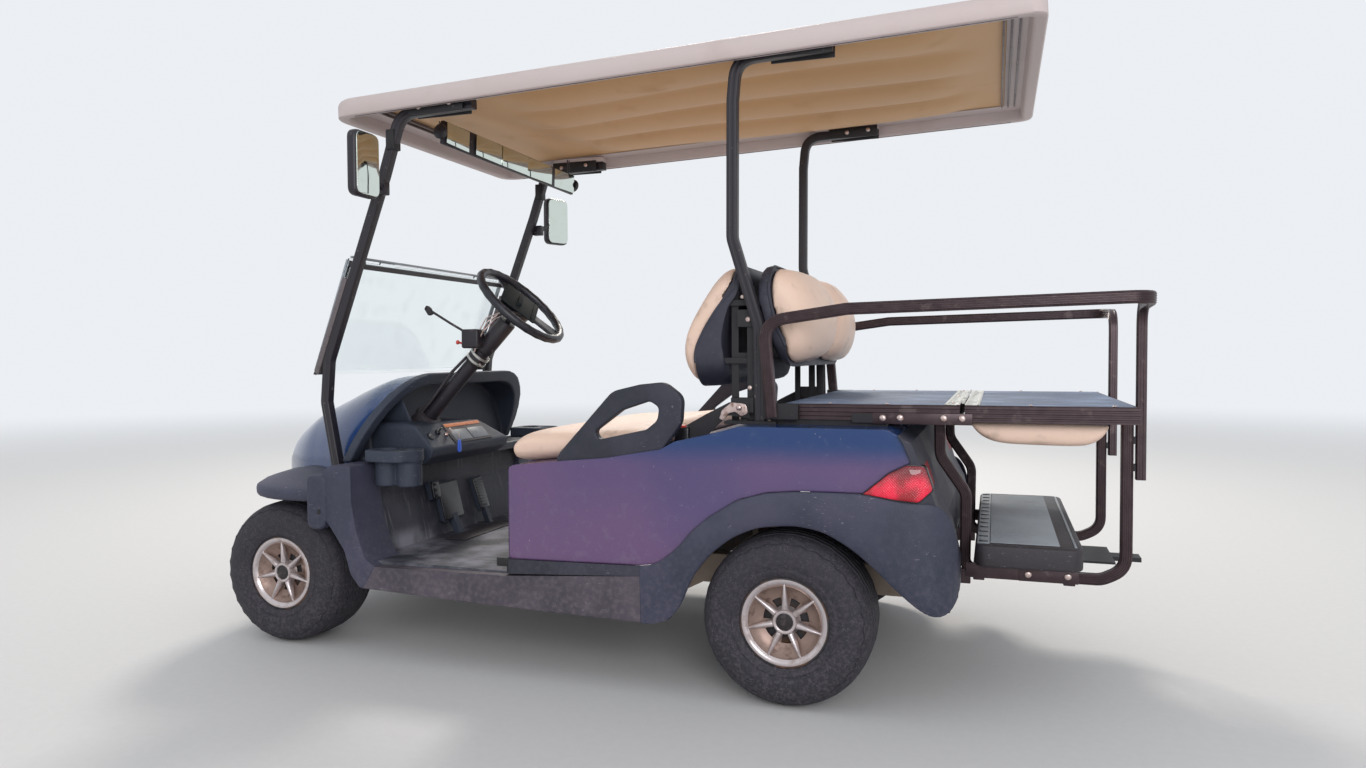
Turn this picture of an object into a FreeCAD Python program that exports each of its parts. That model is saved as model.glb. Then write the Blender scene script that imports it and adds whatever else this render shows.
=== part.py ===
import FreeCAD, Part
import math
import os

import Sketcher
from FreeCAD import Placement, Rotation, Vector

# Golf cart with a roof, a folding windshield and a rear deck kit.
# Frame: +X forward, +Y to the left, +Z up, millimetres.
# The origin is on the floor under the middle of the cart's box.

doc = FreeCAD.newDocument("golf_cart")
sheet = doc.addObject("Spreadsheet::Sheet", "Sizes")

# Driving dimensions: alias, value in millimetres or degrees, what it is
SIZES = [
    ("front_reach", 1945, "rear axle to the nose"),
    ("rear_reach", 905, "rear axle to the rear of the handrail"),
    ("wheelbase", 1664, "rear axle to front axle"),
    ("front_track", 876, "between the middles of the front tyres"),
    ("rear_track", 978, "between the middles of the rear tyres"),
    ("tyre_radius", 228.5, "outer radius of a tyre"),
    ("tyre_width", 216, "width of a tyre at its sidewalls"),
    ("tyre_wall", 14, "thickness of the tyre carcass"),
    ("rim_radius", 118.5, "outer radius of the rim flange"),
    ("rim_width", 192, "width over both rim flanges"),
    ("bead_radius", 105, "radius of the rim where the tyre seats"),
    ("hub_radius", 33, "radius of a wheel hub"),
    ("spindle_radius", 12.5, "radius of a wheel spindle"),
    ("pin_gap", 0.3, "gap between a pin and its bore"),
    ("kingpin_inset", 70, "kingpin inboard of the tyre's middle"),
    ("kingpin_radius", 11, "radius of a kingpin"),
    ("yoke_height", 104, "height between the ears of the axle yoke"),
    ("body_half", 585, "half width of the rear body panels"),
    ("fender_half", 596, "half width over the fender lips"),
    ("rail_offset", 335, "middle of a frame rail from the centre line"),
    ("rail_width", 46, "width of a frame rail"),
    ("rail_height", 84, "height of a frame rail"),
    ("floor_top", 300, "top of the floor above the ground"),
    ("floor_front", 1318, "front of the flat floor, from the rear axle"),
    ("floor_rear", 800, "rear of the flat floor, from the rear axle"),
    ("strut_offset", 484, "middle of a roof strut from the centre line"),
    ("strut_size", 30, "side of the square strut tube"),
    ("roof_front", 1436, "front lip of the roof, from the rear axle"),
    ("roof_rear", -634, "rear lip of the roof, from the rear axle"),
    ("roof_half", 545, "half width of the roof"),
    ("roof_edge", 62, "height of the roof's side edge"),
    ("roof_skin", 22, "thickness of the roof's top"),
    ("roof_wall", 24, "thickness of the roof's rim"),
    ("roof_lip_front", 1660, "height of the roof's lower lip at its front"),
    ("roof_lip_rear", 1733, "height of the roof's lower lip at its rear"),
    ("deck_top", 793, "top of the rear deck"),
    ("deck_thick", 42, "height of the deck's side rails"),
    ("deck_half", 480, "half width of the rear deck"),
    ("deck_front", 28, "front of the deck, from the rear axle"),
    ("deck_hinge", -437, "hinge line of the deck, from the rear axle"),
    ("deck_rear", -845, "rear of the deck, from the rear axle"),
    ("hinge_gap", 12, "gap between the two halves of the deck"),
    ("hinge_rise", 4, "hinge pin above the deck top"),
    ("post_offset", 300, "middle of a kit post from the centre line"),
    ("tube_radius", 14, "radius of the kit's round tubes"),
    ("rail_top", 1053, "middle of the handrail above the ground"),
    ("step_top", 438, "top of the rear footrest"),
    ("step_front", -469, "front of the footrest, from the rear axle"),
    ("step_rear", -727, "rear of the footrest, from the rear axle"),
    ("step_half", 460, "half width of the footrest"),
    ("step_thick", 58, "height of the footrest"),
    ("seat_top", 703, "top of the front seat cushion"),
    ("seat_front", 858, "front of the seat cushion, from the rear axle"),
    ("seat_rear", 392, "rear of the seat cushion, from the rear axle"),
    ("seat_half", 512, "half width of the seats"),
    ("wheel_offset", 250, "steering column from the centre line"),
    ("steer_radius", 170, "outer radius of the steering wheel"),
    ("steer_grip", 13, "radius of the steering wheel's ring"),
    ("column_tilt", 45.8, "angle of the steering column above level, degrees"),
    ("pane_thick", 5, "thickness of a windshield pane"),
    ("pane_half", 476, "half width of a windshield pane"),
    ("pane_length", 388, "length of the folding pane"),
    ("pane_hinge_height", 1240, "height of the windshield hinge"),
    ("pane_hinge_place", 1420, "windshield hinge, from the rear axle"),
    ("pane_slope", 21.5, "lean of the windshield from upright, degrees"),
    ("soft_gap", 0.5, "gap round a cushion"),
]


class Size(float):
    """A number with the spreadsheet expression that gives it."""

    def __new__(cls, value, text=None):
        size = super().__new__(cls, value)
        size.text = text or repr(float(value))
        return size

    @staticmethod
    def of(other):
        return other if isinstance(other, Size) else Size(other)

    def __add__(self, other):
        other = Size.of(other)
        return Size(float(self) + float(other), f"({self.text} + {other.text})")

    def __radd__(self, other):
        return Size.of(other) + self

    def __neg__(self):
        return Size(-float(self), f"(0 - {self.text})")

    def __sub__(self, other):
        other = Size.of(other)
        return Size(float(self) - float(other), f"({self.text} - {other.text})")

    def __rsub__(self, other):
        return Size.of(other) - self

    def __mul__(self, other):
        other = Size.of(other)
        return Size(float(self) * float(other), f"({self.text} * {other.text})")

    def __rmul__(self, other):
        return Size.of(other) * self

    def __truediv__(self, other):
        other = Size.of(other)
        return Size(float(self) / float(other), f"({self.text} / {other.text})")


class Names:
    """The sizes of the sheet, each as an attribute."""


s = Names()
for row, (alias, value, note) in enumerate(SIZES, start=1):
    sheet.set(f"A{row}", note)
    sheet.set(f"B{row}", str(value))
    sheet.setAlias(f"B{row}", alias)
    setattr(s, alias, Size(value, f"Sizes.{alias}"))
doc.recompute()

rear_axle = (s.rear_reach - s.front_reach) / 2


def at(x):
    """A place given from the rear axle, in the frame's X."""
    return rear_axle + x


front_axle = at(s.wheelbase)
front_wheel_y = s.front_track / 2
rear_wheel_y = s.rear_track / 2
kingpin_y = front_wheel_y - s.kingpin_inset
hub_z = s.tyre_radius

kept = []


def keep(feature, node):
    """Names a finished object after its node and lists it for export."""
    feature.Label = node
    kept.append(feature)
    return feature


def bind(feature, **sizes):
    """Ties each property to the expression of its size."""
    for name, size in sizes.items():
        size = Size.of(size)
        feature.setExpression(name.replace("__", "."), size.text)
    return feature


def place(feature, x=0, y=0, z=0):
    return bind(feature, Placement__Base__x=x, Placement__Base__y=y, Placement__Base__z=z)


def box(x, y, z, length, width, height, name="Block"):
    """A box from its low corner."""
    solid = doc.addObject("Part::Box", name)
    bind(solid, Length=length, Width=width, Height=height)
    return place(solid, x, y, z)


def centred_box(x, y, z, length, width, height, name="Block"):
    """A box from its middle."""
    return box(x - Size.of(length) / 2, y - Size.of(width) / 2, z - Size.of(height) / 2,
               length, width, height, name)


TURNS = {
    "X": Rotation(Vector(0, 1, 0), 90),
    "Y": Rotation(Vector(1, 0, 0), -90),
    "Z": Rotation(),
}


def rod(x, y, z, radius, length, axis="Z", name="Rod"):
    """A cylinder from the middle of its low end, along an axis."""
    solid = doc.addObject("Part::Cylinder", name)
    solid.Placement = Placement(Vector(0, 0, 0), TURNS[axis])
    bind(solid, Radius=radius, Height=length)
    return place(solid, x, y, z)


def fuse(pieces, name="Joined"):
    joined = doc.addObject("Part::MultiFuse", name)
    joined.Shapes = pieces
    return joined


def cut(base, tools, name="Cut"):
    solid = doc.addObject("Part::Cut", name)
    solid.Base = base
    solid.Tool = tools[0] if len(tools) == 1 else fuse(tools)
    return solid


def common(pieces, name="Shared"):
    """What the pieces have in common."""
    solid = doc.addObject("Part::MultiCommon", name)
    solid.Shapes = pieces
    return solid


def group(pieces, name="Group"):
    """Like pieces on one body that don't touch, in one node."""
    both = doc.addObject("Part::Compound", name)
    both.Links = pieces
    return both


def origin_plane(body, role):
    for feature in body.Origin.OriginFeatures:
        if feature.Role == role:
            return feature


def sketch_on(body, role, name="Outline"):
    sketch = body.newObject("Sketcher::SketchObject", name)
    sketch.AttachmentSupport = [(origin_plane(body, role), "")]
    sketch.MapMode = "FlatFace"
    return sketch


def corner_arc(before, corner, after, radius):
    """The arc that rounds a corner, and whether the outline turns left there."""
    incoming = (corner - before).normalize()
    outgoing = (after - corner).normalize()
    half_turn = incoming.getAngle(outgoing) / 2
    leg = radius * math.tan(half_turn)
    enter, leave = corner - incoming * leg, corner + outgoing * leg
    centre = corner + (outgoing - incoming).normalize() * (radius / math.cos(half_turn))
    turns_left = incoming.cross(outgoing).z > 0
    first, last = (enter, leave) if turns_left else (leave, enter)
    start = math.atan2(first.y - centre.y, first.x - centre.x)
    stop = math.atan2(last.y - centre.y, last.x - centre.x)
    if stop < start:
        stop += 2 * math.pi
    arc = Part.ArcOfCircle(Part.Circle(centre, Vector(0, 0, 1), radius), start, stop)
    return enter, leave, arc, turns_left


def tie(sketch, ties):
    """Constraints with a size: kind, geometry, its point, size."""
    marks = []
    for kind, geometry, point, size in ties:
        if kind == "Radius":
            marks.append(Sketcher.Constraint(kind, geometry, float(size)))
        else:
            marks.append(Sketcher.Constraint(kind, -1, 1, geometry, point, float(size)))
    numbers = sketch.addConstraint(marks)
    for number, (kind, geometry, point, size) in zip(numbers, ties):
        sketch.setExpression(f"Constraints[{number}]", Size.of(size).text)


def draw(sketch, points):
    """A closed outline tied to the sheet. A corner is (u, v), or (u, v, radius) where it is round."""
    count = len(points)
    corners = [Vector(float(point[0]), float(point[1]), 0) for point in points]
    arcs = {
        i: corner_arc(corners[i - 1], corners[i], corners[(i + 1) % count], float(point[2]))
        for i, point in enumerate(points) if len(point) > 2
    }
    lines = []
    for i in range(count):
        after = (i + 1) % count
        start = arcs[i][1] if i in arcs else corners[i]
        end = arcs[after][0] if after in arcs else corners[after]
        lines.append(Part.LineSegment(start, end))
    first = sketch.GeometryCount
    sketch.addGeometry(lines, False)
    joints, ties = [], []
    for i, point in enumerate(points):
        here, before = first + i, first + (i - 1) % count
        anchor = here
        if i in arcs:
            bend = sketch.addGeometry(arcs[i][2], False)
            anchor = sketch.addGeometry(Part.Point(corners[i]), True)
            near, far = (1, 2) if arcs[i][3] else (2, 1)
            joints += [
                Sketcher.Constraint("Tangent", before, 2, bend, near),
                Sketcher.Constraint("Tangent", bend, far, here, 1),
                Sketcher.Constraint("PointOnObject", anchor, 1, before),
                Sketcher.Constraint("PointOnObject", anchor, 1, here),
            ]
            ties.append(("Radius", bend, 0, point[2]))
        else:
            joints.append(Sketcher.Constraint("Coincident", before, 2, here, 1))
        ties += [("DistanceX", anchor, 1, point[0]), ("DistanceY", anchor, 1, point[1])]
    sketch.addConstraint(joints)
    tie(sketch, ties)
    return sketch


def inset(points, distance):
    """The same outline drawn smaller all round, or larger by a negative distance."""
    flat = [Vector(float(point[0]), float(point[1]), 0) for point in points]
    count = len(flat)
    area = sum(flat[i - 1].x * flat[i].y - flat[i].x * flat[i - 1].y for i in range(count))
    side = 1 if area > 0 else -1
    moved = []
    for i, point in enumerate(points):
        incoming = (flat[i] - flat[i - 1]).normalize()
        outgoing = (flat[(i + 1) % count] - flat[i]).normalize()
        inward = Vector(-incoming.y - outgoing.y, incoming.x + outgoing.x, 0).normalize() * side
        reach = 1 / inward.dot(Vector(-incoming.y, incoming.x, 0) * side)
        bulges = incoming.cross(outgoing).z * side > 0
        place_now = (point[0] + distance * (inward.x * reach), point[1] + distance * (inward.y * reach))
        if len(point) > 2:
            radius = point[2] - distance if bulges else point[2] + distance
            place_now += (radius,) if float(radius) > 1 else ()
        moved.append(place_now)
    return moved


def pad(body, sketch, length):
    """A pad as far to one side of the sketch as to the other."""
    feature = body.newObject("PartDesign::Pad", "Pad")
    feature.Profile = sketch
    feature.Midplane = True
    sketch.Visibility = False
    return bind(feature, Length=length)


def side_plate(points, width, y=0, name="Plate"):
    """A side outline in X and Z, padded across about its own middle."""
    body = doc.addObject("PartDesign::Body", name)
    pad(body, draw(sketch_on(body, "XZ_Plane"), points), width)
    return bind(body, Placement__Base__y=y)


def top_plate(points, height, z=0, name="Plate"):
    """An outline from above in X and Y, padded up and down about its own middle."""
    body = doc.addObject("PartDesign::Body", name)
    pad(body, draw(sketch_on(body, "XY_Plane"), points), height)
    return bind(body, Placement__Base__z=z)


def cross_plate(points, length, x=0, name="Plate"):
    """An outline in Y and Z, padded along X about its own middle."""
    body = doc.addObject("PartDesign::Body", name)
    pad(body, draw(sketch_on(body, "YZ_Plane"), points), length)
    return bind(body, Placement__Base__x=x)


def both_ways(points):
    """An outline from above: the left half from rear to front, then the same on the right."""
    return points + [(point[0], -point[1]) + tuple(point[2:]) for point in reversed(points)]


def plan_loft(name, kind, rows, body=None):
    """A loft upwards through outlines from above: height and points."""
    body = body or doc.addObject("PartDesign::Body", name)
    sections = []
    for z, points in rows:
        sketch = sketch_on(body, "XY_Plane", "Section")
        bind(sketch, AttachmentOffset__Base__z=z)
        draw(sketch, points)
        sketch.Visibility = False
        sections.append(sketch)
    feature = body.newObject(kind, "Loft")
    feature.Profile = sections[0]
    feature.Sections = sections[1:]
    feature.Ruled = True
    return body


def turned(points, name="Turned"):
    """A solid of revolution about Y, from points of radius and place along Y."""
    body = doc.addObject("PartDesign::Body", name)
    profile = draw(sketch_on(body, "XY_Plane"), points)
    feature = body.newObject("PartDesign::Revolution", "Revolution")
    feature.Profile = profile
    feature.ReferenceAxis = (profile, ["V_Axis"])
    feature.Angle = 360
    profile.Visibility = False
    return body


def bent_path(points, bend):
    """Straight runs through the points, joined by tangent arcs of one radius."""
    ends = [Vector(*[float(part) for part in point]) for point in points]
    edges, start = [], ends[0]
    for before, corner, after in zip(ends, ends[1:], ends[2:]):
        incoming = (corner - before).normalize()
        outgoing = (after - corner).normalize()
        turn = incoming.getAngle(outgoing)
        reach = min((corner - start).Length * 0.95, (after - corner).Length * 0.48)
        leg = min(float(bend) * math.tan(turn / 2), reach)
        radius = leg / math.tan(turn / 2)
        enter, leave = corner - incoming * leg, corner + outgoing * leg
        inward = (outgoing - incoming).normalize()
        centre = corner + inward * (radius / math.cos(turn / 2))
        middle = centre - inward * radius
        edges.append(Part.LineSegment(start, enter).toShape())
        edges.append(Part.Arc(enter, middle, leave).toShape())
        start = leave
    edges.append(Part.LineSegment(start, ends[-1]).toShape())
    return Part.Wire(edges)


def round_tube(points, bend, radius, name="Tube"):
    """A bent round bar. Its path turns in space, which one sketch can't hold."""
    path = bent_path(points, bend)
    start = path.Vertexes[0].Point
    direction = Vector(*[float(part) for part in points[1]]) - start
    section = Part.Wire(Part.Circle(start, direction, float(radius)).toShape())
    tube = doc.addObject("Part::Feature", name)
    tube.Shape = path.makePipeShell([section], True, True)
    return tube


def square_tube(points, bend, side, name="Strut"):
    """A bent square bar that stays square to the side view."""
    path = bent_path(points, bend)
    start = path.Vertexes[0].Point
    run = (Vector(*[float(part) for part in points[1]]) - start).normalize()
    sideways = Vector(0, 1, 0)
    upward = run.cross(sideways).normalize()
    half = float(side) / 2
    corners = [start + sideways * (a * half) + upward * (b * half)
               for a, b in ((1, 1), (1, -1), (-1, -1), (-1, 1), (1, 1))]
    section = Part.makePolygon(corners)
    bar = doc.addObject("Part::Feature", name)
    bar.Shape = path.makePipeShell([section], True, True)
    return bar


def arch_outline(half, base, top, corner):
    """A closed section in Y and Z: flat base, upright sides, round top corners."""
    half, base, top, corner = float(half), float(base), float(top), float(corner)
    slant = corner * (1 - math.sqrt(0.5))
    low_right, right = Vector(half, base, 0), Vector(half, top - corner, 0)
    top_right, top_left = Vector(half - corner, top, 0), Vector(corner - half, top, 0)
    left, low_left = Vector(-half, top - corner, 0), Vector(-half, base, 0)
    return [
        Part.LineSegment(low_left, low_right),
        Part.LineSegment(low_right, right),
        Part.Arc(right, Vector(half - slant, top - slant, 0), top_right),
        Part.LineSegment(top_right, top_left),
        Part.Arc(top_left, Vector(slant - half, top - slant, 0), left),
        Part.LineSegment(left, low_left),
    ]


def arch_loft(body, kind, rows, ruled=True):
    """A loft along X through arched sections: x, half width, base, top, corner radius."""
    sections = []
    for x, half, base, top, corner in rows:
        sketch = sketch_on(body, "YZ_Plane", "Section")
        bind(sketch, AttachmentOffset__Base__z=x)
        sketch.addGeometry(arch_outline(half, base, top, corner), False)
        sketch.Visibility = False
        sections.append(sketch)
    feature = body.newObject(kind, "Loft")
    feature.Profile = sections[0]
    feature.Sections = sections[1:]
    feature.Ruled = ruled
    return feature


# Wheels

SIDES = [("left", 1), ("right", -1)]
WHEELS = [
    ("front_left", front_axle, front_wheel_y, 1),
    ("front_right", front_axle, -front_wheel_y, -1),
    ("rear_left", at(0), rear_wheel_y, 1),
    ("rear_right", at(0), -rear_wheel_y, -1),
]

SPOKES = 7
spoke_width = Size(11)
disc_face = Size(40)
disc_thick = Size(8)
cap_radius = Size(27)
spindle_tip = s.kingpin_inset + disc_face + disc_thick


def tyre_outline():
    outer, wide = s.tyre_radius, s.tyre_width / 2
    bead = s.bead_radius + s.pin_gap
    seat = s.rim_width / 2 - 10
    crown = s.tyre_width * 0.34
    thick = s.tyre_wall
    half = [
        (outer, crown), (outer - 10, crown + 22), (outer - 46, wide),
        (outer - 84, wide - 4), (bead + 14, seat + 4), (bead, seat),
        (bead, seat - thick), (outer - 84, wide - 4 - thick),
        (outer - 46, wide - thick), (outer - 10 - thick, crown + 14),
        (outer - thick, crown - 4),
    ]
    return half + [(radius, -place_along) for radius, place_along in reversed(half)]


def rim_outline(side):
    wide, lip, seat = s.rim_width / 2, s.rim_radius, s.bead_radius
    inner = seat - 5
    bore = s.spindle_radius + s.pin_gap
    back = Size(-22)
    tip = disc_face + disc_thick + 4
    points = [
        (lip, wide), (lip, wide - 5), (seat, wide - 8), (seat, -wide + 8), (lip, -wide + 5), (lip, -wide),
        (inner, -wide + 4), (inner, disc_face), (s.hub_radius, disc_face), (s.hub_radius, back),
        (bore, back), (bore, tip), (Size(0), tip), (Size(0), wide - 8),
        (cap_radius - 4, wide - 8), (cap_radius, wide - 14), (cap_radius + 6, disc_face + disc_thick),
        (inner - 6, disc_face + disc_thick), (inner + 1, wide - 2),
    ]
    return [(radius, side * place_along) for radius, place_along in points]


def tyre(node, x, y):
    keep(place(turned(tyre_outline(), "Tyre"), x, y, hub_z), node)


def rim(node, x, y, side):
    """A pressed wheel with its hub and a cap of seven spokes."""
    body = turned(rim_outline(side), "Rim")
    spoke = sketch_on(body, "XZ_Plane", "Spoke")
    inner, outer = cap_radius - 2, s.bead_radius - 5
    draw(spoke, [(inner, -spoke_width / 2), (outer, -spoke_width / 3),
                 (outer, spoke_width / 3), (inner, spoke_width / 2)])
    root = disc_face + disc_thick / 2
    bind(spoke, AttachmentOffset__Base__z=root * -side)
    feature = body.newObject("PartDesign::Pad", "SpokePad")
    feature.Profile = spoke
    feature.Reversed = side > 0
    bind(feature, Length=s.rim_width / 2 - 12 - root)
    spoke.Visibility = False
    ring = body.newObject("PartDesign::PolarPattern", "Spokes")
    ring.Originals = [feature]
    ring.Axis = (origin_plane(body, "Y_Axis"), [""])
    ring.Angle = 360
    ring.Occurrences = SPOKES
    body.Tip = ring
    keep(place(body, x, y, hub_z), node)


for corner, x, y, side in WHEELS:
    tyre(f"tyre_{corner}", x, y)
    rim(f"rim_{corner}", x, y, side)


# Steering knuckles: the kingpin of the axle passes through each

knuckle_barrel = Size(19)
arm_length = Size(72)


def knuckle(side_name, side):
    y = kingpin_y * side
    height = s.yoke_height - 2
    barrel = rod(front_axle, y, hub_z - height / 2, knuckle_barrel, height, "Z", "Barrel")
    reach = spindle_tip - 2
    start = y if side > 0 else y - reach
    spindle = rod(front_axle, start, hub_z, s.spindle_radius, reach, "Y", "Spindle")
    arm = box(front_axle - arm_length, y - 9, hub_z - 49, arm_length, 18, 12, "Arm")
    bore = rod(front_axle, y, hub_z - height, s.kingpin_radius + s.pin_gap, height * 2, "Z", "Bore")
    keep(cut(fuse([barrel, spindle, arm]), [bore], "Knuckle"), f"knuckle_{side_name}")


for side_name, side in SIDES:
    knuckle(side_name, side)


# Front axle: a cross beam that ends in a yoke with a kingpin on each side

beam_height = Size(44)
beam_depth = Size(40)
ear_thick = Size(12)


def front_beam():
    inner_end = kingpin_y - knuckle_barrel - 11
    pieces = [centred_box(front_axle, 0, hub_z, beam_depth, inner_end * 2, beam_height, "Beam")]
    for _, side in SIDES:
        y = kingpin_y * side
        tall = s.yoke_height + ear_thick * 2
        pieces.append(centred_box(front_axle, (inner_end - 10) * side, hub_z,
                                  beam_depth, 20, tall, "YokeBack"))
        for low in (s.yoke_height / 2, -s.yoke_height / 2 - ear_thick):
            width = kingpin_y + 18 - inner_end
            start = inner_end if side > 0 else -inner_end - width
            pieces.append(box(front_axle - beam_depth / 2, start, hub_z + low,
                              beam_depth, width, ear_thick, "Ear"))
        pieces.append(rod(front_axle, y, hub_z - s.yoke_height / 2 - ear_thick, s.kingpin_radius,
                          s.yoke_height + ear_thick * 2, "Z", "Kingpin"))
    keep(fuse(pieces, "Beam"), "front_axle_beam")


front_beam()


# Chassis: two rails that rise over the rear axle, cross members and the front arms

floor_thick = Size(16)
toe_front = s.floor_front + 54
rail_low = s.floor_top - floor_thick - s.rail_height
rail_kick = Size(62)
rail_inner = s.rail_offset - s.rail_width / 2
front_rail_y = Size(150)
front_rail_height = Size(50)
front_rail_low = hub_z + beam_height / 2 + 34
rail_end = at(-352)
member_width = Size(44)


def frame_rails():
    low, tall = rail_low, s.rail_height
    kick_front, kick_rear = at(410), at(290)
    outline = [
        (at(1300), low), (at(1300), low + tall), (kick_front, low + tall),
        (kick_rear, low + tall + rail_kick), (rail_end, low + tall + rail_kick),
        (rail_end, low + rail_kick), (kick_rear, low + rail_kick), (kick_front, low),
    ]
    pieces = [side_plate(outline, s.rail_width, s.rail_offset * side, "Rail") for _, side in SIDES]
    for x, z in ((1240, low), (760, low), (430, low), (-330, low + rail_kick)):
        pieces.append(box(at(x), -s.rail_offset, z, member_width, s.rail_offset * 2, tall, "CrossMember"))
    front_top = front_rail_low + front_rail_height
    for _, side in SIDES:
        rise = [
            (at(1240), low), (at(1240), low + tall), (at(toe_front + 12), low + tall),
            (at(toe_front + 12), front_top), (bumper_rear, front_top),
            (bumper_rear, front_rail_low), (at(toe_front + 60), front_rail_low), (at(toe_front + 60), low),
        ]
        pieces.append(side_plate(rise, 40, front_rail_y * side, "FrontRail"))
    pieces.append(
        box(at(1780), -front_rail_y, front_rail_low, 40, front_rail_y * 2, front_rail_height, "NoseMember")
    )
    beam_top = hub_z + beam_height / 2
    pieces.append(centred_box(front_axle, 0, front_rail_low + 12, 60, front_rail_y * 2, 24, "Bridge"))
    pieces.append(box(front_axle - 25, -30, beam_top, 50, 60, front_rail_low - beam_top, "Saddle"))
    keep(fuse(pieces, "Chassis"), "frame_rails")


bumper_rear = at(1880)
frame_rails()


# Rear axle: housing, gear case and the two shafts that carry the wheels

housing_radius = Size(30)
shaft_shoulder = Size(26)
spring_y = Size(285)
leaf_width = Size(42)
leaf_thick = Size(8)
spring_seat = hub_z + housing_radius + 2


def rear_axle_assembly():
    half = rear_wheel_y - 24 - shaft_shoulder
    shaft = rear_wheel_y + disc_face + disc_thick
    pieces = [
        rod(at(0), -half, hub_z, housing_radius, half * 2, "Y", "Housing"),
        rod(at(0), -shaft, hub_z, s.spindle_radius, shaft * 2, "Y", "Shafts"),
        centred_box(at(20), 60, hub_z + 10, 210, 150, 170, "GearCase"),
    ]
    for _, side in SIDES:
        low = spring_y * side - leaf_width / 2
        pieces.append(box(at(-35), low, hub_z, 70, leaf_width, spring_seat - hub_z, "SpringPad"))
    keep(fuse(pieces, "RearAxle"), "rear_axle")


rear_axle_assembly()


# Rear springs: three leaves on each side, hung from the inner face of a rail at both ends

def rear_springs():
    springs = []
    for _, side in SIDES:
        y = spring_y * side
        leaves = []
        for leaf, half in enumerate((280, 210, 140)):
            leaves.append(box(at(-half), y - leaf_width / 2, spring_seat + leaf_thick * leaf,
                              half * 2, leaf_width, leaf_thick, "Leaf"))
        inner = spring_y - leaf_width / 2
        width = rail_inner - inner
        start = inner if side > 0 else -rail_inner
        for x in (-280, 244):
            leaves.append(box(at(x), start, spring_seat, 36, width, 54, "Hanger"))
        springs.append(fuse(leaves, "Spring"))
    keep(group(springs), "rear_leaf_springs")


rear_springs()


# Powertrain: one plain block at its real place

powertrain_half = Size(260)
keep(box(at(300), -powertrain_half, rail_low + s.rail_height, 480, powertrain_half * 2, 220, "Powertrain"),
     "powertrain_block")


# Floor with the toe board at its front

rocker_depth = Size(38)
floor_half = s.fender_half - rocker_depth
pillar_inner = Size(446)
toe_top = Size(555)


def floor_pan():
    low, top = s.floor_top - floor_thick, s.floor_top
    fold = at(s.floor_front - 24)
    plate = box(at(s.floor_rear), -floor_half, low, fold - at(s.floor_rear), floor_half * 2, floor_thick)
    outline = [
        (fold, low), (fold, top), (at(s.floor_front), top),
        (at(toe_front - floor_thick), top + 170), (at(toe_front - floor_thick), toe_top),
        (at(toe_front), toe_top), (at(toe_front), top + 170), (at(s.floor_front + 14), low),
    ]
    solid = fuse([plate, side_plate(outline, pillar_inner * 2, 0, "ToeBoard")])
    keep(cut(solid, pillar_forms, "Floor"), "floor_pan")


# Front fenders: dark shells over the front wheels, each with a pillar behind its wheel
# and a socket for the roof strut

fender_wall = Size(7)
lip_low = Size(504)
pillar_top = Size(592)

# x from the rear axle, half width, and the way each point moves in as the top narrows
FENDER_PLAN = [
    (1432, 596, 0, -1), (1600, 596, 0, -1), (1690, 575, -0.35, -0.94), (1760, 530, -0.6, -0.8),
    (1830, 440, -0.75, -0.66), (1890, 330, -0.85, -0.5), (1935, 180, -1, -0.2),
]

# height, how far the outline has moved in
FENDER_ROWS = [(490, 0), (502, 0), (514, 30), (540, 110), (566, 196)]

# the lower edge of the fender round the wheel: x from the rear axle, height
FENDER_EDGE = [
    (1305, 222), (1341, 258), (1367, 333), (1421, 407), (1467, 451), (1523, 492), (1649, 492),
    (1698, lip_low)
]
PILLAR = [
    (1255, 290), (1291, 311, 40), (1322, 394, 60), (1339, 485), (1340, pillar_top, 8),
    (1420, pillar_top, 40), (1452, 556), (1470, 500), (1470, 222),
]
pillar_wall = Size(6)


def fender_plan(moved):
    return both_ways([(at(x) + moved * dx, half + moved * dy) for x, half, dx, dy in FENDER_PLAN])


def fender_form(name, wall=0, extra=0):
    """The closed form of the fender tray, or of the hollow inside its wall."""
    rows = [(z - wall, fender_plan(Size(moved) + wall)) for z, moved in FENDER_ROWS]
    if extra:
        rows[0] = (rows[0][0] - extra, rows[0][1])
    return plan_loft(name, "PartDesign::AdditiveLoft", rows)


def pillar_form(side, wall=0):
    outline = [(at(point[0]),) + tuple(point[1:]) for point in PILLAR]
    if wall:
        outline = inset(outline, Size(wall))
        outline[0] = (outline[0][0], Size(180))
        outline[-1] = (outline[-1][0], Size(180))
    width = s.fender_half - pillar_inner - wall * 2
    middle = (s.fender_half + pillar_inner) / 2
    return side_plate(outline, width, middle * side, "Pillar")


def front_strut(side, spare=0):
    """The bent front strut of one side, or the space it needs."""
    y = s.strut_offset * side
    return square_tube([
        (at(960), y, 1677), (at(1218), y, 1668), (at(1279), y, 1487), (at(1500), y, 915),
        (at(1512), y, 780), (at(1470), y, 560), (at(1470), y, 500 - spare),
    ], 70, s.strut_size + spare, "FrontStrut")


def strut_socket(side):
    outer = s.fender_half + 3
    outline = [
        (pillar_inner, 390), (outer, 390), (outer, 478, 12), (572, 514, 30), (508, 546), (pillar_inner, 546),
    ]
    return cross_plate([(point[0] * side,) + tuple(point[1:]) for point in outline], 68, at(1466), "Socket")


def wheel_space():
    """What the fenders leave open below their edge."""
    outline = [(at(x), z) for x, z in FENDER_EDGE]
    outline += [(at(2000), lip_low), (at(2000), 100), (at(1305), 100)]
    return side_plate(outline, s.fender_half * 2 + 100, 0, "WheelSpace")


strut_solids = [front_strut(side) for _, side in SIDES]
tray_form = fender_form("TrayForm")
pillar_forms = [pillar_form(side) for _, side in SIDES]
sockets = [strut_socket(side) for _, side in SIDES]


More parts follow.
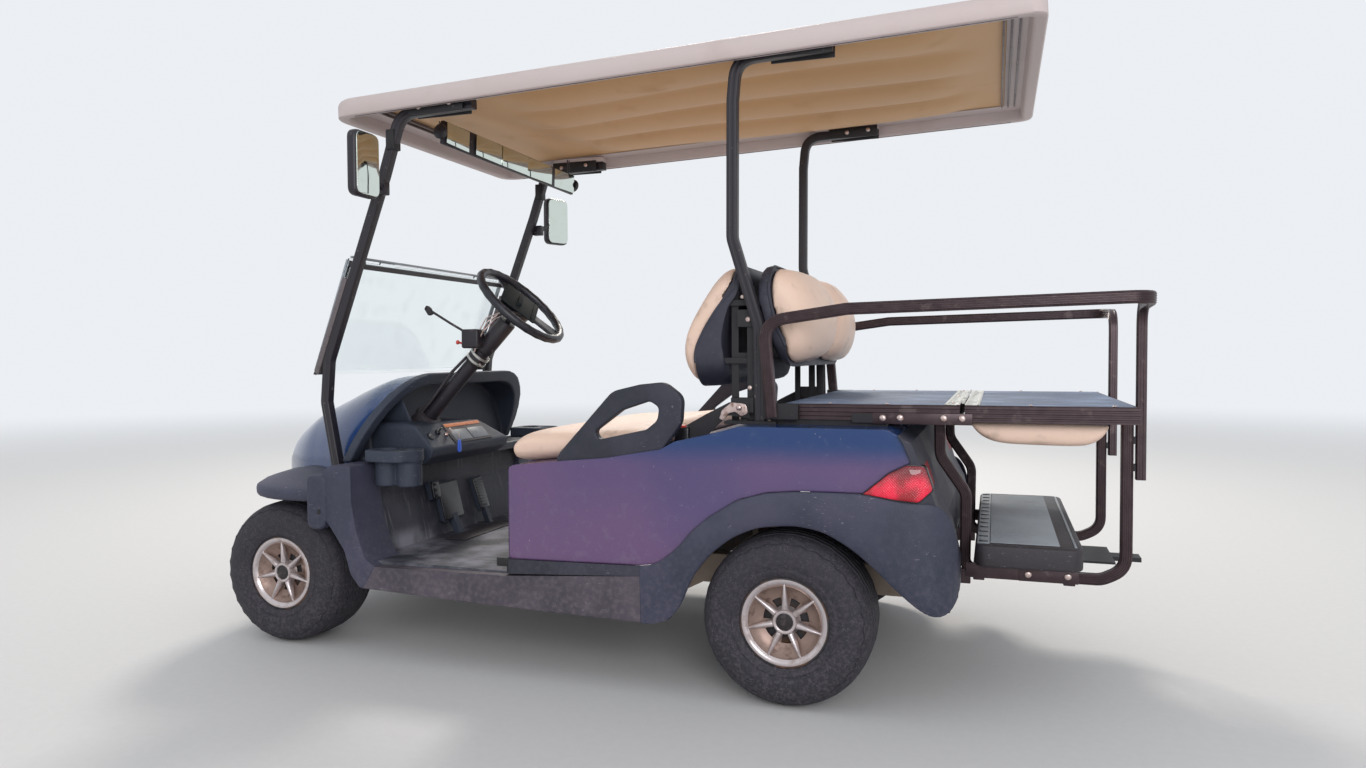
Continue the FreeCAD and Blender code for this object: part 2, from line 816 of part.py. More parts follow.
def front_fenders():
    hollows = [fender_form("TrayHollow", fender_wall, 30)]
    hollows += [pillar_form(side, pillar_wall) for _, side in SIDES]
    shell = cut(fuse([tray_form] + pillar_forms), hollows, "FenderShell")
    whole = fuse([shell] + sockets)
    keep(
        cut(whole, [wheel_space()] + [front_strut(side, 1) for _, side in SIDES], "Fenders"),
        "front_fenders"
    )


front_fenders()
floor_pan()


# Rocker panels below the doorways, open on their inner side

rocker_end = at(394)


def rocker_panels():
    outline = [
        (at(1299), 222), (at(1255), 290), (at(814), 295), (rocker_end, 324), (rocker_end, 198),
        (at(890), 208)
    ]
    wall = Size(5)
    panels = []
    for _, side in SIDES:
        middle = (s.fender_half + floor_half) / 2
        solid = side_plate(outline, rocker_depth, middle * side, "Rocker")
        hollow = side_plate(inset(outline, wall), rocker_depth, (middle - wall) * side, "RockerHollow")
        panels.append(cut(solid, [hollow], "RockerPanel"))
    keep(group(panels), "rocker_panels")


rocker_panels()


# Front bumper: a narrow dark shell between the front wheels, on the ends of the front rails

def front_bumper():
    outline = [
        (bumper_rear, 262), (at(1922), 262, 16), (at(1944), 340, 30), (at(1944), 430, 30),
        (at(1934), lip_low), (bumper_rear, lip_low),
    ]
    wall = Size(6)
    half = Size(190)
    solid = side_plate(outline, half * 2, 0, "Bumper")
    hollow = inset(outline, wall)
    hollow[0] = (at(1870), hollow[0][1])
    hollow[-1] = (at(1870), hollow[-1][1])
    inner = side_plate(hollow, (half - wall) * 2, 0, "BumperHollow")
    pads = [box(bumper_rear, front_rail_y * side - 20, front_rail_low, 48, 40, front_rail_height, "BumperPad")
            for _, side in SIDES]
    keep(fuse([cut(solid, [inner])] + pads, "Bumper"), "front_bumper")


front_bumper()


# Front cowl: the painted nose, hollow and open underneath, with its rear edge leaning back

# x from the rear axle, half width, base, top, corner radius
COWL = [
    (1250, 490, 480, 870, 285),
    (1400, 478, 480, 856, 262),
    (1500, 452, 480, 822, 235),
    (1615, 405, 480, 775, 195),
    (1700, 368, 480, 742, 168),
    (1760, 332, 480, 712, 148),
    (1840, 272, 480, 662, 100),
    (1900, 215, 480, 598, 50),
    (1941, 130, 480, 530, 12),
]
cowl_wall = Size(8)

# the leaning plane that the cowl's rear edge and the arch trim follow: x and height at two points
LEAN = [(1410, 600), (1270, 867)]
arch_depth = Size(34)


def leaning(z, forward):
    (low_x, low_z), (high_x, high_z) = LEAN
    return at(low_x + (high_x - low_x) * (z - low_z) / (high_z - low_z)) + forward


def lean_slab(rear, front, name="LeanSlab"):
    """Everything between two distances forward of the leaning plane."""
    low, high = 400, 960
    outline = [(leaning(low, rear), low), (leaning(high, rear), high),
               (leaning(high, front), high), (leaning(low, front), low)]
    return side_plate(outline, 1300, 0, name)


def cowl_rows(wall=0):
    rows = []
    for x, half, base, top, corner in COWL:
        rows.append((at(x), half - wall, base, top - wall, corner - wall))
    if wall:
        rows[0] = (rows[0][0] - 1,) + rows[0][1:]
        x, half, base, top, corner = rows[-1]
        rows[-1] = (x - wall * 2, half, base, top, 4)
        rows = [(x, half, base - 10, top, corner) for x, half, base, top, corner in rows]
    return rows


def nose_form():
    body = doc.addObject("PartDesign::Body", "NoseForm")
    arch_loft(body, "PartDesign::AdditiveLoft", cowl_rows())
    return body


lamp_low, lamp_high = Size(572), Size(626)


def lamp_block(side):
    return box(at(1812), 150 if side > 0 else -246, lamp_low, 130, 96, lamp_high - lamp_low, "LampBlock")


def front_cowl():
    body = doc.addObject("PartDesign::Body", "Cowl")
    arch_loft(body, "PartDesign::AdditiveLoft", cowl_rows())
    arch_loft(body, "PartDesign::SubtractiveLoft", cowl_rows(cowl_wall))
    blocks = [lamp_block(side) for _, side in SIDES]
    behind = lean_slab(Size(-600), arch_depth, "BehindCowl")
    seats = [tray_form] + pillar_forms + sockets
    seats.append(box(at(1380), -700, 300, 600, 1400, lip_low - 300, "BelowLip"))
    keep(cut(body, blocks + [behind] + seats, "Cowl"), "front_cowl")
    keep(group([common([lamp_block(side), nose_form()], "HeadLamp") for _, side in SIDES]), "head_lamps")


front_cowl()


# Steering column and wheel

tilt = math.radians(float(s.column_tilt))
column_up = Vector(-math.cos(tilt), 0, math.sin(tilt))
wheel_centre = (at(938), s.wheel_offset, Size(1087))
column_end = Size(-560)
column_top = Size(-58)
column_radius = Size(26)
shaft_radius = Size(12)


def along_column(distance):
    x, y, z = wheel_centre
    return (x + column_up.x * distance, y, z + column_up.z * distance)


def column_rod(start, end, radius, name):
    """A cylinder on the steering axis, between two distances from the wheel's centre."""
    solid = doc.addObject("Part::Cylinder", name)
    solid.Placement = Placement(Vector(0, 0, 0), Rotation(Vector(0, 0, 1), column_up))
    bind(solid, Radius=radius, Height=end - start)
    return place(solid, *along_column(start))


# Dashboard: the arch trim on the cowl's rear edge, the dark recess behind it,
# a shelf across the cart and the switch panel

shelf_low, shelf_top = Size(570), Size(598)
shelf_half = Size(425)
back_wall = at(1424)


def arch_ring(rows, wall, name):
    """A tube of arched section, open at both ends and underneath."""
    body = doc.addObject("PartDesign::Body", name)
    arch_loft(body, "PartDesign::AdditiveLoft", rows)
    inner = [(x, half - wall, base - 10, top - wall, corner - wall) for x, half, base, top, corner in rows]
    inner[0] = (inner[0][0] - 1,) + inner[0][1:]
    inner[-1] = (inner[-1][0] + 1,) + inner[-1][1:]
    arch_loft(body, "PartDesign::SubtractiveLoft", inner)
    return body


def dashboard():
    trim = arch_ring(
        [(at(1230), 500, pillar_top, 869, 268), (at(1470), 500, pillar_top, 869, 268)], Size(42), "ArchTrim"
    )
    trim = common([trim, lean_slab(Size(0), arch_depth)], "Trim")
    liner = arch_ring(
        [(at(1262), 473, shelf_low, 854, 266), (at(1430), 457, shelf_low, 831, 246)], Size(5), "Liner"
    )
    liner = common([liner, lean_slab(Size(4), Size(400))], "Liner")
    wall = doc.addObject("PartDesign::Body", "BackWall")
    arch_loft(wall, "PartDesign::AdditiveLoft",
              [(back_wall, 455, shelf_low, 829, 244), (back_wall + 6, 455, shelf_low, 829, 244)])
    shelf = box(
        at(1236), -shelf_half, shelf_low, back_wall - at(1236), shelf_half * 2, shelf_top - shelf_low,
        "Shelf"
    )
    sill = box(
        at(toe_front) - floor_thick, -pillar_inner, toe_top, back_wall + 6 - at(toe_front) + floor_thick,
        pillar_inner * 2, shelf_low - toe_top, "Sill"
    )
    profile = [
        (at(1236), shelf_low), (at(1190), 602, 6), (at(1184), 628, 8), (at(1252), 700, 14), (at(1300), 712),
        (back_wall, 712), (back_wall, shelf_low)
    ]
    across = [(-96, shelf_low), (-96, 624, 10), (12, 698, 20), (388, 712, 20), (388, shelf_low)]
    panel = common(
        [side_plate(profile, 1000, 0, "PanelSide"), cross_plate(across, 700, at(1300), "PanelFront")],
        "Panel"
    )
    fin = [
        (back_wall, shelf_top), (at(1262), shelf_top), (at(1290), 690, 30), (at(1340), 790, 40),
        (back_wall, 800)
    ]
    divider = side_plate(fin, 6, 330, "Divider")
    passage = column_rod(column_end, 0, column_radius + s.pin_gap, "Passage")
    whole = fuse([trim, liner, wall, shelf, sill, panel, divider], "Dash")
    keep(cut(whole, [passage] + pillar_forms, "Dash"), "dashboard")


# Cup trays at both ends of the shelf, each with two wells

cup_radius = Size(36)
cup_wall = Size(3)
tray_thick = Size(36)
cup_y = Size(470)
CUP_PLACES = [1216, 1296]


def cup_holders():
    trays = []
    for _, side in SIDES:
        outline = [
            (at(1166), 470 * side, 40), (at(1210), 540 * side, 40), (at(1330), 540 * side, 30),
            (at(1352), 500 * side, 20), (at(1352), 396 * side, 10), (at(1210), 396 * side, 40),
        ]
        tray = top_plate(outline, tray_thick, shelf_top + tray_thick / 2, "Tray")
        low = shelf_top - 78
        wells = [rod(at(x), cup_y * side, low, cup_radius + cup_wall, 80, "Z", "Well") for x in CUP_PLACES]
        holes = [rod(at(x), cup_y * side, low + 6, cup_radius, 200, "Z", "Hole") for x in CUP_PLACES]
        trays.append(cut(fuse([tray] + wells), holes, "CupTray"))
    keep(group(trays), "cup_holders")


dashboard()
cup_holders()


# Pedals: each pad on an arm that comes out of the floor

# outline in side view, width across the cart, middle from the cart's middle
PEDALS = {
    "BrakePad": ([(1300, 345), (1318, 350), (1352, 476), (1334, 482)], 120, 92),
    "BrakeHold": ([(1320, 430), (1336, 425), (1354, 484), (1332, 494)], 44, 172),
    "BrakeArm": ([(1268, s.floor_top), (1290, s.floor_top), (1332, 400), (1312, 400)], 30, 92),
    "Accelerator": ([(1296, 350), (1310, 346), (1352, 466), (1338, 472)], 62, -110),
    "AcceleratorArm": ([(1268, s.floor_top), (1290, s.floor_top), (1326, 400), (1308, 400)], 22, -110),
}


def pedals():
    made = {}
    for name, (outline, width, middle) in PEDALS.items():
        made[name] = side_plate([(at(x), z) for x, z in outline], width, middle, name)
    brake = fuse([made["BrakePad"], made["BrakeHold"], made["BrakeArm"]], "Brake")
    keep(group([brake, fuse([made["Accelerator"], made["AcceleratorArm"]], "Accelerator")]), "pedals")


# start and end along the column from the wheel's centre, radius
COLUMN_PARTS = {
    "Column": (column_end, column_top, column_radius),
    "Shroud": (-200, -70, 36),
    "Clamp": (-256, -214, 34),
}
STALK = [(1112, 296, 1000), (1160, 312, 1030), (1226, 334, 1074)]
stalk_radius = Size(5)
tip_radius = Size(9)
tip_length = Size(24)


def steering_column():
    bore = column_rod(-124, 0, shaft_radius + s.pin_gap, "ShaftBore")
    pieces = [column_rod(*numbers, name) for name, numbers in COLUMN_PARTS.items()]
    pieces.append(box(at(1062), 268, 950, 62, 46, 62, "SwitchBox"))
    pieces.append(round_tube([(at(x), y, z) for x, y, z in STALK], 20, stalk_radius, "Stalk"))
    tip_x, tip_y, tip_z = STALK[-1]
    pieces.append(rod(at(tip_x), tip_y, tip_z - tip_length / 2, tip_radius, tip_length, "Z", "StalkTip"))
    keep(cut(fuse(pieces), [bore], "Column"), "steering_column")


hub_radius = Size(42)
spoke_width = Size(46)
spoke_thick = Size(9)


def steering_wheel():
    ring = doc.addObject("Part::Torus", "Ring")
    ring.Placement = Placement(Vector(0, 0, 0), Rotation(Vector(0, 0, 1), column_up))
    bind(ring, Radius1=s.steer_radius - s.steer_grip, Radius2=s.steer_grip)
    place(ring, *wheel_centre)
    pieces = [ring, column_rod(-52, -8, hub_radius, "Hub"), column_rod(-122, -40, shaft_radius, "Shaft")]
    for angle in (90, 210, 330):
        spoke = doc.addObject("Part::Box", "Spoke")
        turn = Rotation(Vector(0, 0, 1), column_up).multiply(Rotation(Vector(0, 0, 1), angle))
        spoke.Placement = Placement(Vector(0, 0, 0), turn)
        bind(spoke, Length=s.steer_radius - s.steer_grip, Width=spoke_width, Height=spoke_thick)
        corner = turn.multVec(Vector(0, -float(spoke_width) / 2, -14))
        x, y, z = wheel_centre
        place(spoke, x + corner.x, y + corner.y, z + corner.z)
        pieces.append(spoke)
    keep(fuse(pieces, "SteeringWheel"), "steering_wheel")


pedals()
steering_column()
steering_wheel()


# Rear body: the painted shell, and below it the dark skirt with the wheel arches

body_wall = Size(8)
skirt_wall = Size(6)
arm_top = Size(736)

# the whole rear from the side: x from the rear axle, height
BODY_TOP = [
    (805, 604, 14), (787, 613), (641, 629), (500, 642), (339, 670), (299, 692), (209, 712), (120, arm_top),
    (-262, arm_top, 30)
]
REAR_END = [
    (-320, 704), (-350, 640), (-377, 553), (-413, 490, 30), (-434, 404, 30), (-434, 331, 20), (-407, 270)
]

# the painted part ends along this line, from the doorway to the top of the rear
PAINT_EDGE = [
    (840, 343), (397, 352), (348, 360, 20), (290, 405, 40), (249, 454), (201, 495), (123, 544, 60), (46, 566),
    (-29, 573), (-205, 575), (-269, 628), (-311, 648), (-320, 657), (-300, 704), (-262, 760), (840, 760),
]
# the wheel arch and the lower edge of the skirt
SKIRT_EDGE = [
    (394, 324), (840, 300), (840, 343), (397, 352), (348, 360, 20), (290, 405, 40), (249, 454), (201, 495),
    (123, 544, 60), (46, 566), (-29, 573), (-205, 575), (-269, 628), (-311, 648), (-320, 657), (-300, 704),
    (-262, 760), (-500, 760), (-500, 200), (-407, 285, 20), (-378, 276, 10), (-357, 304), (-316, 318),
    (-275, 351), (-233, 390), (-176, 437, 40), (-105, 476, 60), (-30, 488, 60), (67, 478, 60),
    (136, 448, 40), (198, 398, 40), (247, 334), (279, 255), (312, 213, 20), (361, 197, 10), (394, 198)
]
TAIL_LAMP = [
    (-205, 575), (-269, 628, 20), (-311, 648, 20), (-353, 646, 14), (-371, 589, 10), (-339, 559, 20),
    (-283, 564)
]


def from_axle(points):
    return [(at(point[0]),) + tuple(point[1:]) for point in points]


def rear_form(half, wall=0, low=150):
    """The closed form of the rear, rounded in plan, or of the hollow inside a wall."""
    side = from_axle([(814, low), (814, 502)] + BODY_TOP + REAR_END + [(-407, low)])
    plan = from_axle([
        (814, half, 26), (-250, half, 80), (-345, half - 6, 60), (-412, half - 42, 50), (-437, 508, 24),
        (-437, 430, 24), (-402, 384, 20)
    ])
    plan = list(reversed(both_ways(list(reversed(plan)))))
    if wall:
        side, plan = inset(side, Size(wall)), inset(plan, Size(wall))
        side[0], side[-1] = (side[0][0], Size(low - 10)), (side[-1][0], Size(low - 10))
    return common([side_plate(side, 1400, 0, "RearSide"), top_plate(plan, 1800, 0, "RearPlan")], "RearForm")


def lamp_space():
    outline = from_axle(TAIL_LAMP)
    return [side_plate(outline, 200, 520 * side, "LampSpace") for _, side in SIDES]


body_form = rear_form(s.body_half)
skirt_form = rear_form(s.fender_half)


def rear_body():
    shell = cut(body_form, [rear_form(s.body_half, body_wall)], "BodyShell")
    painted = common([shell, side_plate(from_axle(PAINT_EDGE), 1400, 0, "PaintEdge")], "Painted")
    keep(cut(painted, lamp_space(), "RearBody"), "rear_body")


def rear_skirt():
    shell = cut(skirt_form, [rear_form(s.fender_half, skirt_wall)], "SkirtShell")
    dark = common([shell, side_plate(from_axle(SKIRT_EDGE), 1400, 0, "SkirtEdge")], "Dark")
    notch = box(at(-460), -372, 150, 108, 744, 202, "RearNotch")
    keep(cut(dark, lamp_space() + [notch], "RearSkirt"), "rear_skirt")


def tail_lamps():
    lamps = []
    for lamp in lamp_space():
        outer = common([lamp, rear_form(s.fender_half + 3)])
        lamps.append(cut(outer, [rear_form(s.body_half, 14)], "TailLamp"))
    keep(group(lamps), "tail_lamps")


rear_body()
rear_skirt()
tail_lamps()


# Front seat: a cushion that lifts off its hinge at the rear, and a hip restraint on each side

def seat():
    under = [
        (at(x), z + s.soft_gap) for x, z in ((s.seat_rear + 22, 657), (500, 642), (641, 629), (787, 613))
    ]
    outline = [
        (at(s.seat_front - 20), under[-1][1], 16), (at(s.seat_front), 650, 24),
        (at(s.seat_front - 4), 694, 24), (at(790), s.seat_top + 2, 80), (at(560), s.seat_top + 6),
        (at(s.seat_rear), s.seat_top + 20, 20), (at(s.seat_rear), 686)
    ]
    keep(side_plate(outline + under, s.seat_half * 2, 0, "SeatCushion"), "seat_bottom")


restraint_thick = Size(30)
restraint_y = s.body_half - 22


def hip_restraint():
    outline = from_axle([
        (655, 634, 16), (640, 656, 16), (482, 826, 60), (400, 845, 60), (330, 852, 50), (277, 812, 40),
        (282, 740, 60), (340, 660), (500, 600), (640, 600)
    ])
    opening = from_axle([
        (536, 713, 14), (452, 774, 30), (372, 800, 24), (345, 783, 18), (350, 748, 30), (382, 722, 20),
        (521, 692, 14)
    ])
    plates = []
    for _, side in SIDES:
        plate = side_plate(outline, restraint_thick, restraint_y * side, "Restraint")
        hole = side_plate(opening, restraint_thick * 2, restraint_y * side, "RestraintHole")
        plates.append(cut(plate, [hole, body_form], "HipRestraint"))
    keep(group(plates), "hip_restraints")


seat()
hip_restraint()


# Backrests: two cushions towards the front and two towards the rear, each pair on a dark shell

back_half = Size(446)
FRONT_CUSHION = [
    (169, 1176), (178, 1184, 5), (210, 1178, 20), (240, 1148, 40), (306, 1046, 60), (345, 975, 60),
    (350, 900, 50), (330, 850, 40), (281, 832, 12), (286, 866), (276, 926), (252, 1001), (219, 1083),
    (190, 1137)
]
FRONT_SHELL = [
    (168, 1176), (189, 1137), (218, 1083), (251, 1001), (275, 926), (285, 866), (280, 835), (250, 832, 14),
    (182, 843, 14), (190, 874), (202, 926), (198, 997), (185, 1075), (173, 1118, 20), (148, 1149, 10),
    (148, 1180, 8)
]
REAR_CUSHION = [
    (72, 1172), (62, 1184, 6), (20, 1176, 30), (-30, 1130, 40), (-66, 1080, 40), (-67, 1000, 30),
    (-52, 962, 20), (-34, 924, 20), (-14, 896, 14), (23, 890, 6), (46, 963), (60, 1041), (71, 1118)
]
REAR_SHELL = [
    (73, 1172), (72, 1118), (61, 1041), (47, 963), (24, 890), (46, 890, 8), (82, 972), (93, 1049, 30),
    (105, 1108, 20), (105, 1150, 14), (90, 1178, 8), (68, 1184, 4)
]


def backrests():
    cushions = []
    for outline in (FRONT_CUSHION, REAR_CUSHION):
        for _, side in SIDES:
            width = back_half - 4
            cushions.append(side_plate(from_axle(outline), width, (width / 2 + 4) * side, "Cushion"))
    keep(group(cushions), "backrest_cushions")
    shells = (FRONT_SHELL, REAR_SHELL)
    return [side_plate(from_axle(outline), back_half * 2, 0, "BackShell") for outline in shells]


back_shells = backrests()
keep(group(back_shells), "backrest_shells")


# Roof struts

foot_plate = Size(8)


def rear_strut(side, spare=0):
    y = s.strut_offset * side
    lower = (s.strut_offset - 22) * side
    path = [
        (at(-110), y, 1722), (at(120), y, 1714), (at(160), y, 1600), (at(162), y, 1240),
        (at(94), lower, 1000), (at(90), lower, arm_top + foot_plate)
    ]
    return square_tube(path, 70, s.strut_size + spare, "RearStrut")


rear_struts = [rear_strut(side) for _, side in SIDES]
keep(group(strut_solids), "front_struts")
keep(group(rear_struts), "rear_struts")


# Roof: a moulded tray, open underneath, that leans back a little, with ribs that sit on the struts

roof_length = s.roof_front - s.roof_rear
roof_rise = s.roof_lip_rear - s.roof_lip_front
roof_lean = math.degrees(math.atan2(float(roof_rise), float(roof_length)))


def roof():
    body = doc.addObject("PartDesign::Body", "Roof")
    half_length, half = roof_length / 2, s.roof_half

    def plan(grow):
        x, y = half_length - grow, half - grow
        front, rear = 76 - grow, 50 - grow
        return [(x, y, front), (-x, y, rear), (-x, -y, rear), (x, -y, front)]

    outline = draw(sketch_on(body, "XY_Plane"), plan(Size(0)))
    feature = body.newObject("PartDesign::Pad", "Pad")
    feature.Profile = outline
    bind(feature, Length=s.roof_edge)
    outline.Visibility = False
    hollow = draw(sketch_on(body, "XY_Plane", "Hollow"), plan(s.roof_wall))
    feature = body.newObject("PartDesign::Pocket", "Pocket")
    feature.Profile = hollow
    feature.Reversed = True
    bind(feature, Length=s.roof_edge - s.roof_skin)
    hollow.Visibility = False
    body.Placement = Placement(Vector(0, 0, 0), Rotation(Vector(0, 1, 0), roof_lean))
    middle = (s.roof_front + s.roof_rear) / 2
    place(body, at(middle), 0, (s.roof_lip_front + s.roof_lip_rear) / 2)
    ribs = []
    for _, side in SIDES:
        start = s.strut_offset - 22 if side > 0 else -s.strut_offset - 22
        ribs.append(box(at(966), start, 1680, 200, 44, 46, "FrontRib"))
        ribs.append(box(at(-104), start, 1724, 214, 44, 40, "RearRib"))
    keep(cut(fuse([body] + ribs), strut_solids + rear_struts, "Roof"), "roof")


roof()


# Windshield: a fixed lower pane and one that folds down in front of it, in dark clips on the struts

slope = math.radians(float(s.pane_slope))
pane_space = Size(3)
pane_drop = Size(6)
lower_pane = Size(400)
hinge_radius = Size(3.5)
lower_drop = Size(10)
clip_inner = Size(462)
clip_width = Size(28)


def slab(length, forward, thick, half, drop, name="Slab", middle=0):
    """A leaning slab below the hinge line, with its rear face some way forward of the line."""
    solid = doc.addObject("Part::Box", name)
    solid.Placement = Placement(Vector(0, 0, 0), Rotation(Vector(0, 1, 0), -float(s.pane_slope)))
    bind(solid, Length=thick, Width=half * 2, Height=length - drop)
    x = at(s.pane_hinge_place) + forward * math.cos(slope) + length * math.sin(slope)
    z = s.pane_hinge_height + forward * math.sin(slope) - length * math.cos(slope)
    return place(solid, x, middle - half, z)


def pane_knuckles(forward, drop, start, length):
    """The two hinge knuckles of a pane, each on a tab at the pane's edge."""
    pieces = []
    for _, side in SIDES:
        low = start if side > 0 else -start - length
        pieces.append(
            rod(at(s.pane_hinge_place), low, s.pane_hinge_height, hinge_radius, length, "Y", "Knuckle")
        )
        pieces.append(slab(drop + 2, forward, s.pane_thick, length / 2, Size(1), "Tab", low + length / 2))
    return pieces


def windshield():
    behind = -s.pane_thick - pane_space / 2
    ahead_of_line = pane_space / 2
    lower = slab(lower_pane, behind, s.pane_thick, s.pane_half, lower_drop, "LowerPane")
    upper = slab(s.pane_length, ahead_of_line, s.pane_thick, s.pane_half, pane_drop, "UpperPane")
    upper_start = Size(330)
    lower_length = Size(80)
    knuckles = pane_knuckles(behind, lower_drop, upper_start - s.pin_gap - lower_length, lower_length)
    lower = fuse([lower] + knuckles, "LowerPane")
    keep(lower, "windshield_lower")
    knuckles = pane_knuckles(ahead_of_line, pane_drop, upper_start, Size(100))
    keep(fuse([upper] + knuckles, "UpperPane"), "windshield_upper")
    bar = slab(30, behind - 10, 10, s.pane_half, 14, "HingeBar")
    low_channel = []
    pieces = [bar]
    for _, side in SIDES:
        start = clip_inner if side > 0 else -clip_inner - clip_width
        pieces.append(box(at(1372), start, s.pane_hinge_height - 34, 40, clip_width, 18, "TopClip"))
        low_channel.append(box(at(1500), start, 868, 72, clip_width, 22, "LowClip"))
    ahead = slab(lower_pane + 60, behind, 80, 520, -60, "AheadOfPane")
    clips = [cut(fuse(pieces), strut_solids + [ahead], "TopClips")]
    clips += [cut(clip, strut_solids + [ahead], "LowClip") for clip in low_channel]
    keep(group(clips), "windshield_clips")


windshield()


# Mirrors

mirror_y = Size(626)


def mirrors():
    shells, faces = [], []
    for _, side in SIDES:
        shell = centred_box(at(1249), mirror_y * side, 1490, 34, 112, 192, "MirrorShell")
        inner = s.strut_offset + s.strut_size / 2
        reach = mirror_y - 40 - inner
        start = inner if side > 0 else -inner - reach
        arm = rod(at(1276), start, 1494, 8, reach, "Y", "MirrorArm")
        grip = centred_box(at(1270), (mirror_y - 40) * side, 1494, 30, 20, 26, "MirrorGrip")
        shells.append(cut(fuse([shell, arm, grip]), strut_solids, "SideMirror"))
        faces.append(box(at(1230), mirror_y * side - 50, 1402, 2, 100, 176, "MirrorFace"))
    keep(group(shells), "side_mirrors")
    bar = centre_bar(14, 740, 58, 0, "MirrorBar")
    hangers = [
        round_tube([(at(1168), 330, 1640), (at(1176), 476, 1672)], 20, 7, "Hanger"),
        round_tube([(at(1066), -370, 1592), (at(1064), -476, 1674)], 20, 7, "Hanger"),
    ]
    keep(cut(fuse([bar] + hangers), strut_solids, "CentreMirror"), "centre_mirror")
    faces.append(centre_bar(2, 716, 46, -8, "CentreFace"))
    keep(group(faces), "mirror_faces")


def centre_bar(thick, length, height, back, name):
    """A bar square to the centre mirror's line, some way behind its middle."""
    turn = Rotation(Vector(0, 0, 1), -8.5).multiply(Rotation(Vector(1, 0, 0), 4))
    solid = doc.addObject("Part::Box", name)
    solid.Placement = Placement(Vector(0, 0, 0), turn)
    bind(solid, Length=thick, Width=length, Height=height)
    corner = turn.multVec(Vector(back - thick / 2, -length / 2, -height / 2))
    return place(solid, at(1112) + corner.x, Size(-22) + corner.y, Size(1617) + corner.z)


mirrors()


# Rear kit: frame tubes, the fixed and the folding half of the deck, handrails and footrest

kit_low = Size(333)
post_x = at(-870)
frame_post_x = at(-838)
deck_low = s.deck_top - s.deck_thick
bar_low = Size(340)


def kit_tube(side):
    y = s.post_offset * side
    path = [
        (at(-372), y, deck_low), (at(-374), y, 645), (at(-443), y, 545), (at(-440), y, kit_low + 14),
        (at(-480), y, kit_low), (at(-780), y, kit_low), (frame_post_x, y, kit_low + 30),
        (frame_post_x, y, deck_low - s.pin_gap)
    ]
    return round_tube(path, 60, s.tube_radius, "KitTube")


kit_tubes = [kit_tube(side) for _, side in SIDES]


bar_height = s.step_top - s.step_thick - bar_low
bar_width = Size(28)
bar_half = Size(430)
side_bar_thick = Size(6)
side_bar_low = Size(350)


def side_box(side, x, inner, z, length, width, height, name):
    """A box on one side of the cart: x from the rear axle, its inner face this far from the middle."""
    start = inner if side > 0 else -inner - width
    return box(at(x), start, z, length, width, height, name)


def kit_frame():
    pieces = list(kit_tubes)
    for x in (-492, -708):
        pieces.append(box(at(x), -bar_half, bar_low, bar_width, bar_half * 2, bar_height, "CrossBar"))
    reach = rail_inner - s.post_offset + 9
    for _, side in SIDES:
        inner = bar_half - side_bar_thick
        height = s.step_top - s.step_thick - side_bar_low
        pieces.append(side_box(side, -706, inner, side_bar_low, 261, side_bar_thick, height, "SideBar"))
        pieces.append(side_box(side, -455, s.post_offset - 9, 300, 124, reach, 40, "RailBracket"))
    keep(fuse(pieces, "KitFrame"), "kit_frame")


hinge_pin = Size(5)
knuckle_length = Size(96)
hinge_z = s.deck_top + s.hinge_rise


deck_wall = Size(30)
deck_skin = Size(14)


def deck(node, front, rear, knuckle_starts, leaf_start, leaf_width):
    """A half of the deck: side rails round a plate, with its leaf and knuckles of the hinge."""
    length = front - rear
    slab_solid = box(rear, -s.deck_half, deck_low, length, s.deck_half * 2, s.deck_thick, "Deck")
    inner_half = s.deck_half - deck_wall
    hollow = box(
        rear + deck_wall, -inner_half, deck_low - 1, length - deck_wall * 2, inner_half * 2,
        s.deck_thick - deck_skin + 1, "DeckHollow"
    )
    knuckles = []
    for start in knuckle_starts:
        knuckles.append(rod(at(s.deck_hinge), start, hinge_z, hinge_pin, knuckle_length, "Y", "HingeKnuckle"))
        knuckles.append(box(leaf_start, start, s.deck_top - 1, leaf_width, knuckle_length, 3, "HingeLeaf"))
    return keep(fuse([cut(slab_solid, [hollow])] + knuckles, "Deck"), node)


def decks():
    gap = s.hinge_gap / 2
    leaf = Size(28)
    fixed_starts = (-400, 0, 300)
    folding_starts = (-300, -100, 100)
    pin = at(s.deck_hinge)
    deck("deck_fixed", at(s.deck_front), pin + gap, fixed_starts, pin, leaf)
    deck("deck_folding", pin - gap, at(s.deck_rear), folding_starts, pin - leaf, leaf)


def handrail(side):
    y = (s.deck_half + s.tube_radius + 6) * side
    post = s.post_offset * side
    path = [
        (at(50), y, 756), (at(72), y, s.rail_top - 41), (at(-150), y, s.rail_top - 11),
        (post_x, y, s.rail_top + 4), (post_x, post, s.rail_top - 6), (post_x, post, 598)
    ]
    return round_tube(path, 60, s.tube_radius, "Handrail")


step_wall = Size(8)


def footrest():
    outline = [
        (s.step_rear, s.step_half, 40), (s.step_rear, -s.step_half, 40), (s.step_front, -s.step_half, 30),
        (s.step_front, s.step_half, 30)
    ]
    solid = top_plate(from_axle(outline), s.step_thick, s.step_top - s.step_thick / 2, "Step")
    inner = inset(from_axle(outline), step_wall)
    hollow = top_plate(inner, s.step_thick, s.step_top - s.step_thick / 2 - step_wall, "StepHollow")
    return keep(cut(solid, [hollow], "Step"), "footrest")


# x from the rear axle, inner face from the middle, base, length, width, height
BRACKETS = {
    "Upright": (111, 430, arm_top, 20, 20, 374),
    "FootPlate": (40, 425, arm_top, 145, 70, foot_plate),
    "UpperPlate": (99, 450, 1001, 58, 6, 47),
    "AnchorBlock": (108, 436, 766, 64, 36, 40),
    "FlatBar": (161, 424, arm_top, 20, 6, 384),
    "Tie": (120, 424, 900, 50, 6, 30),
}
spacer_size = Size(18)


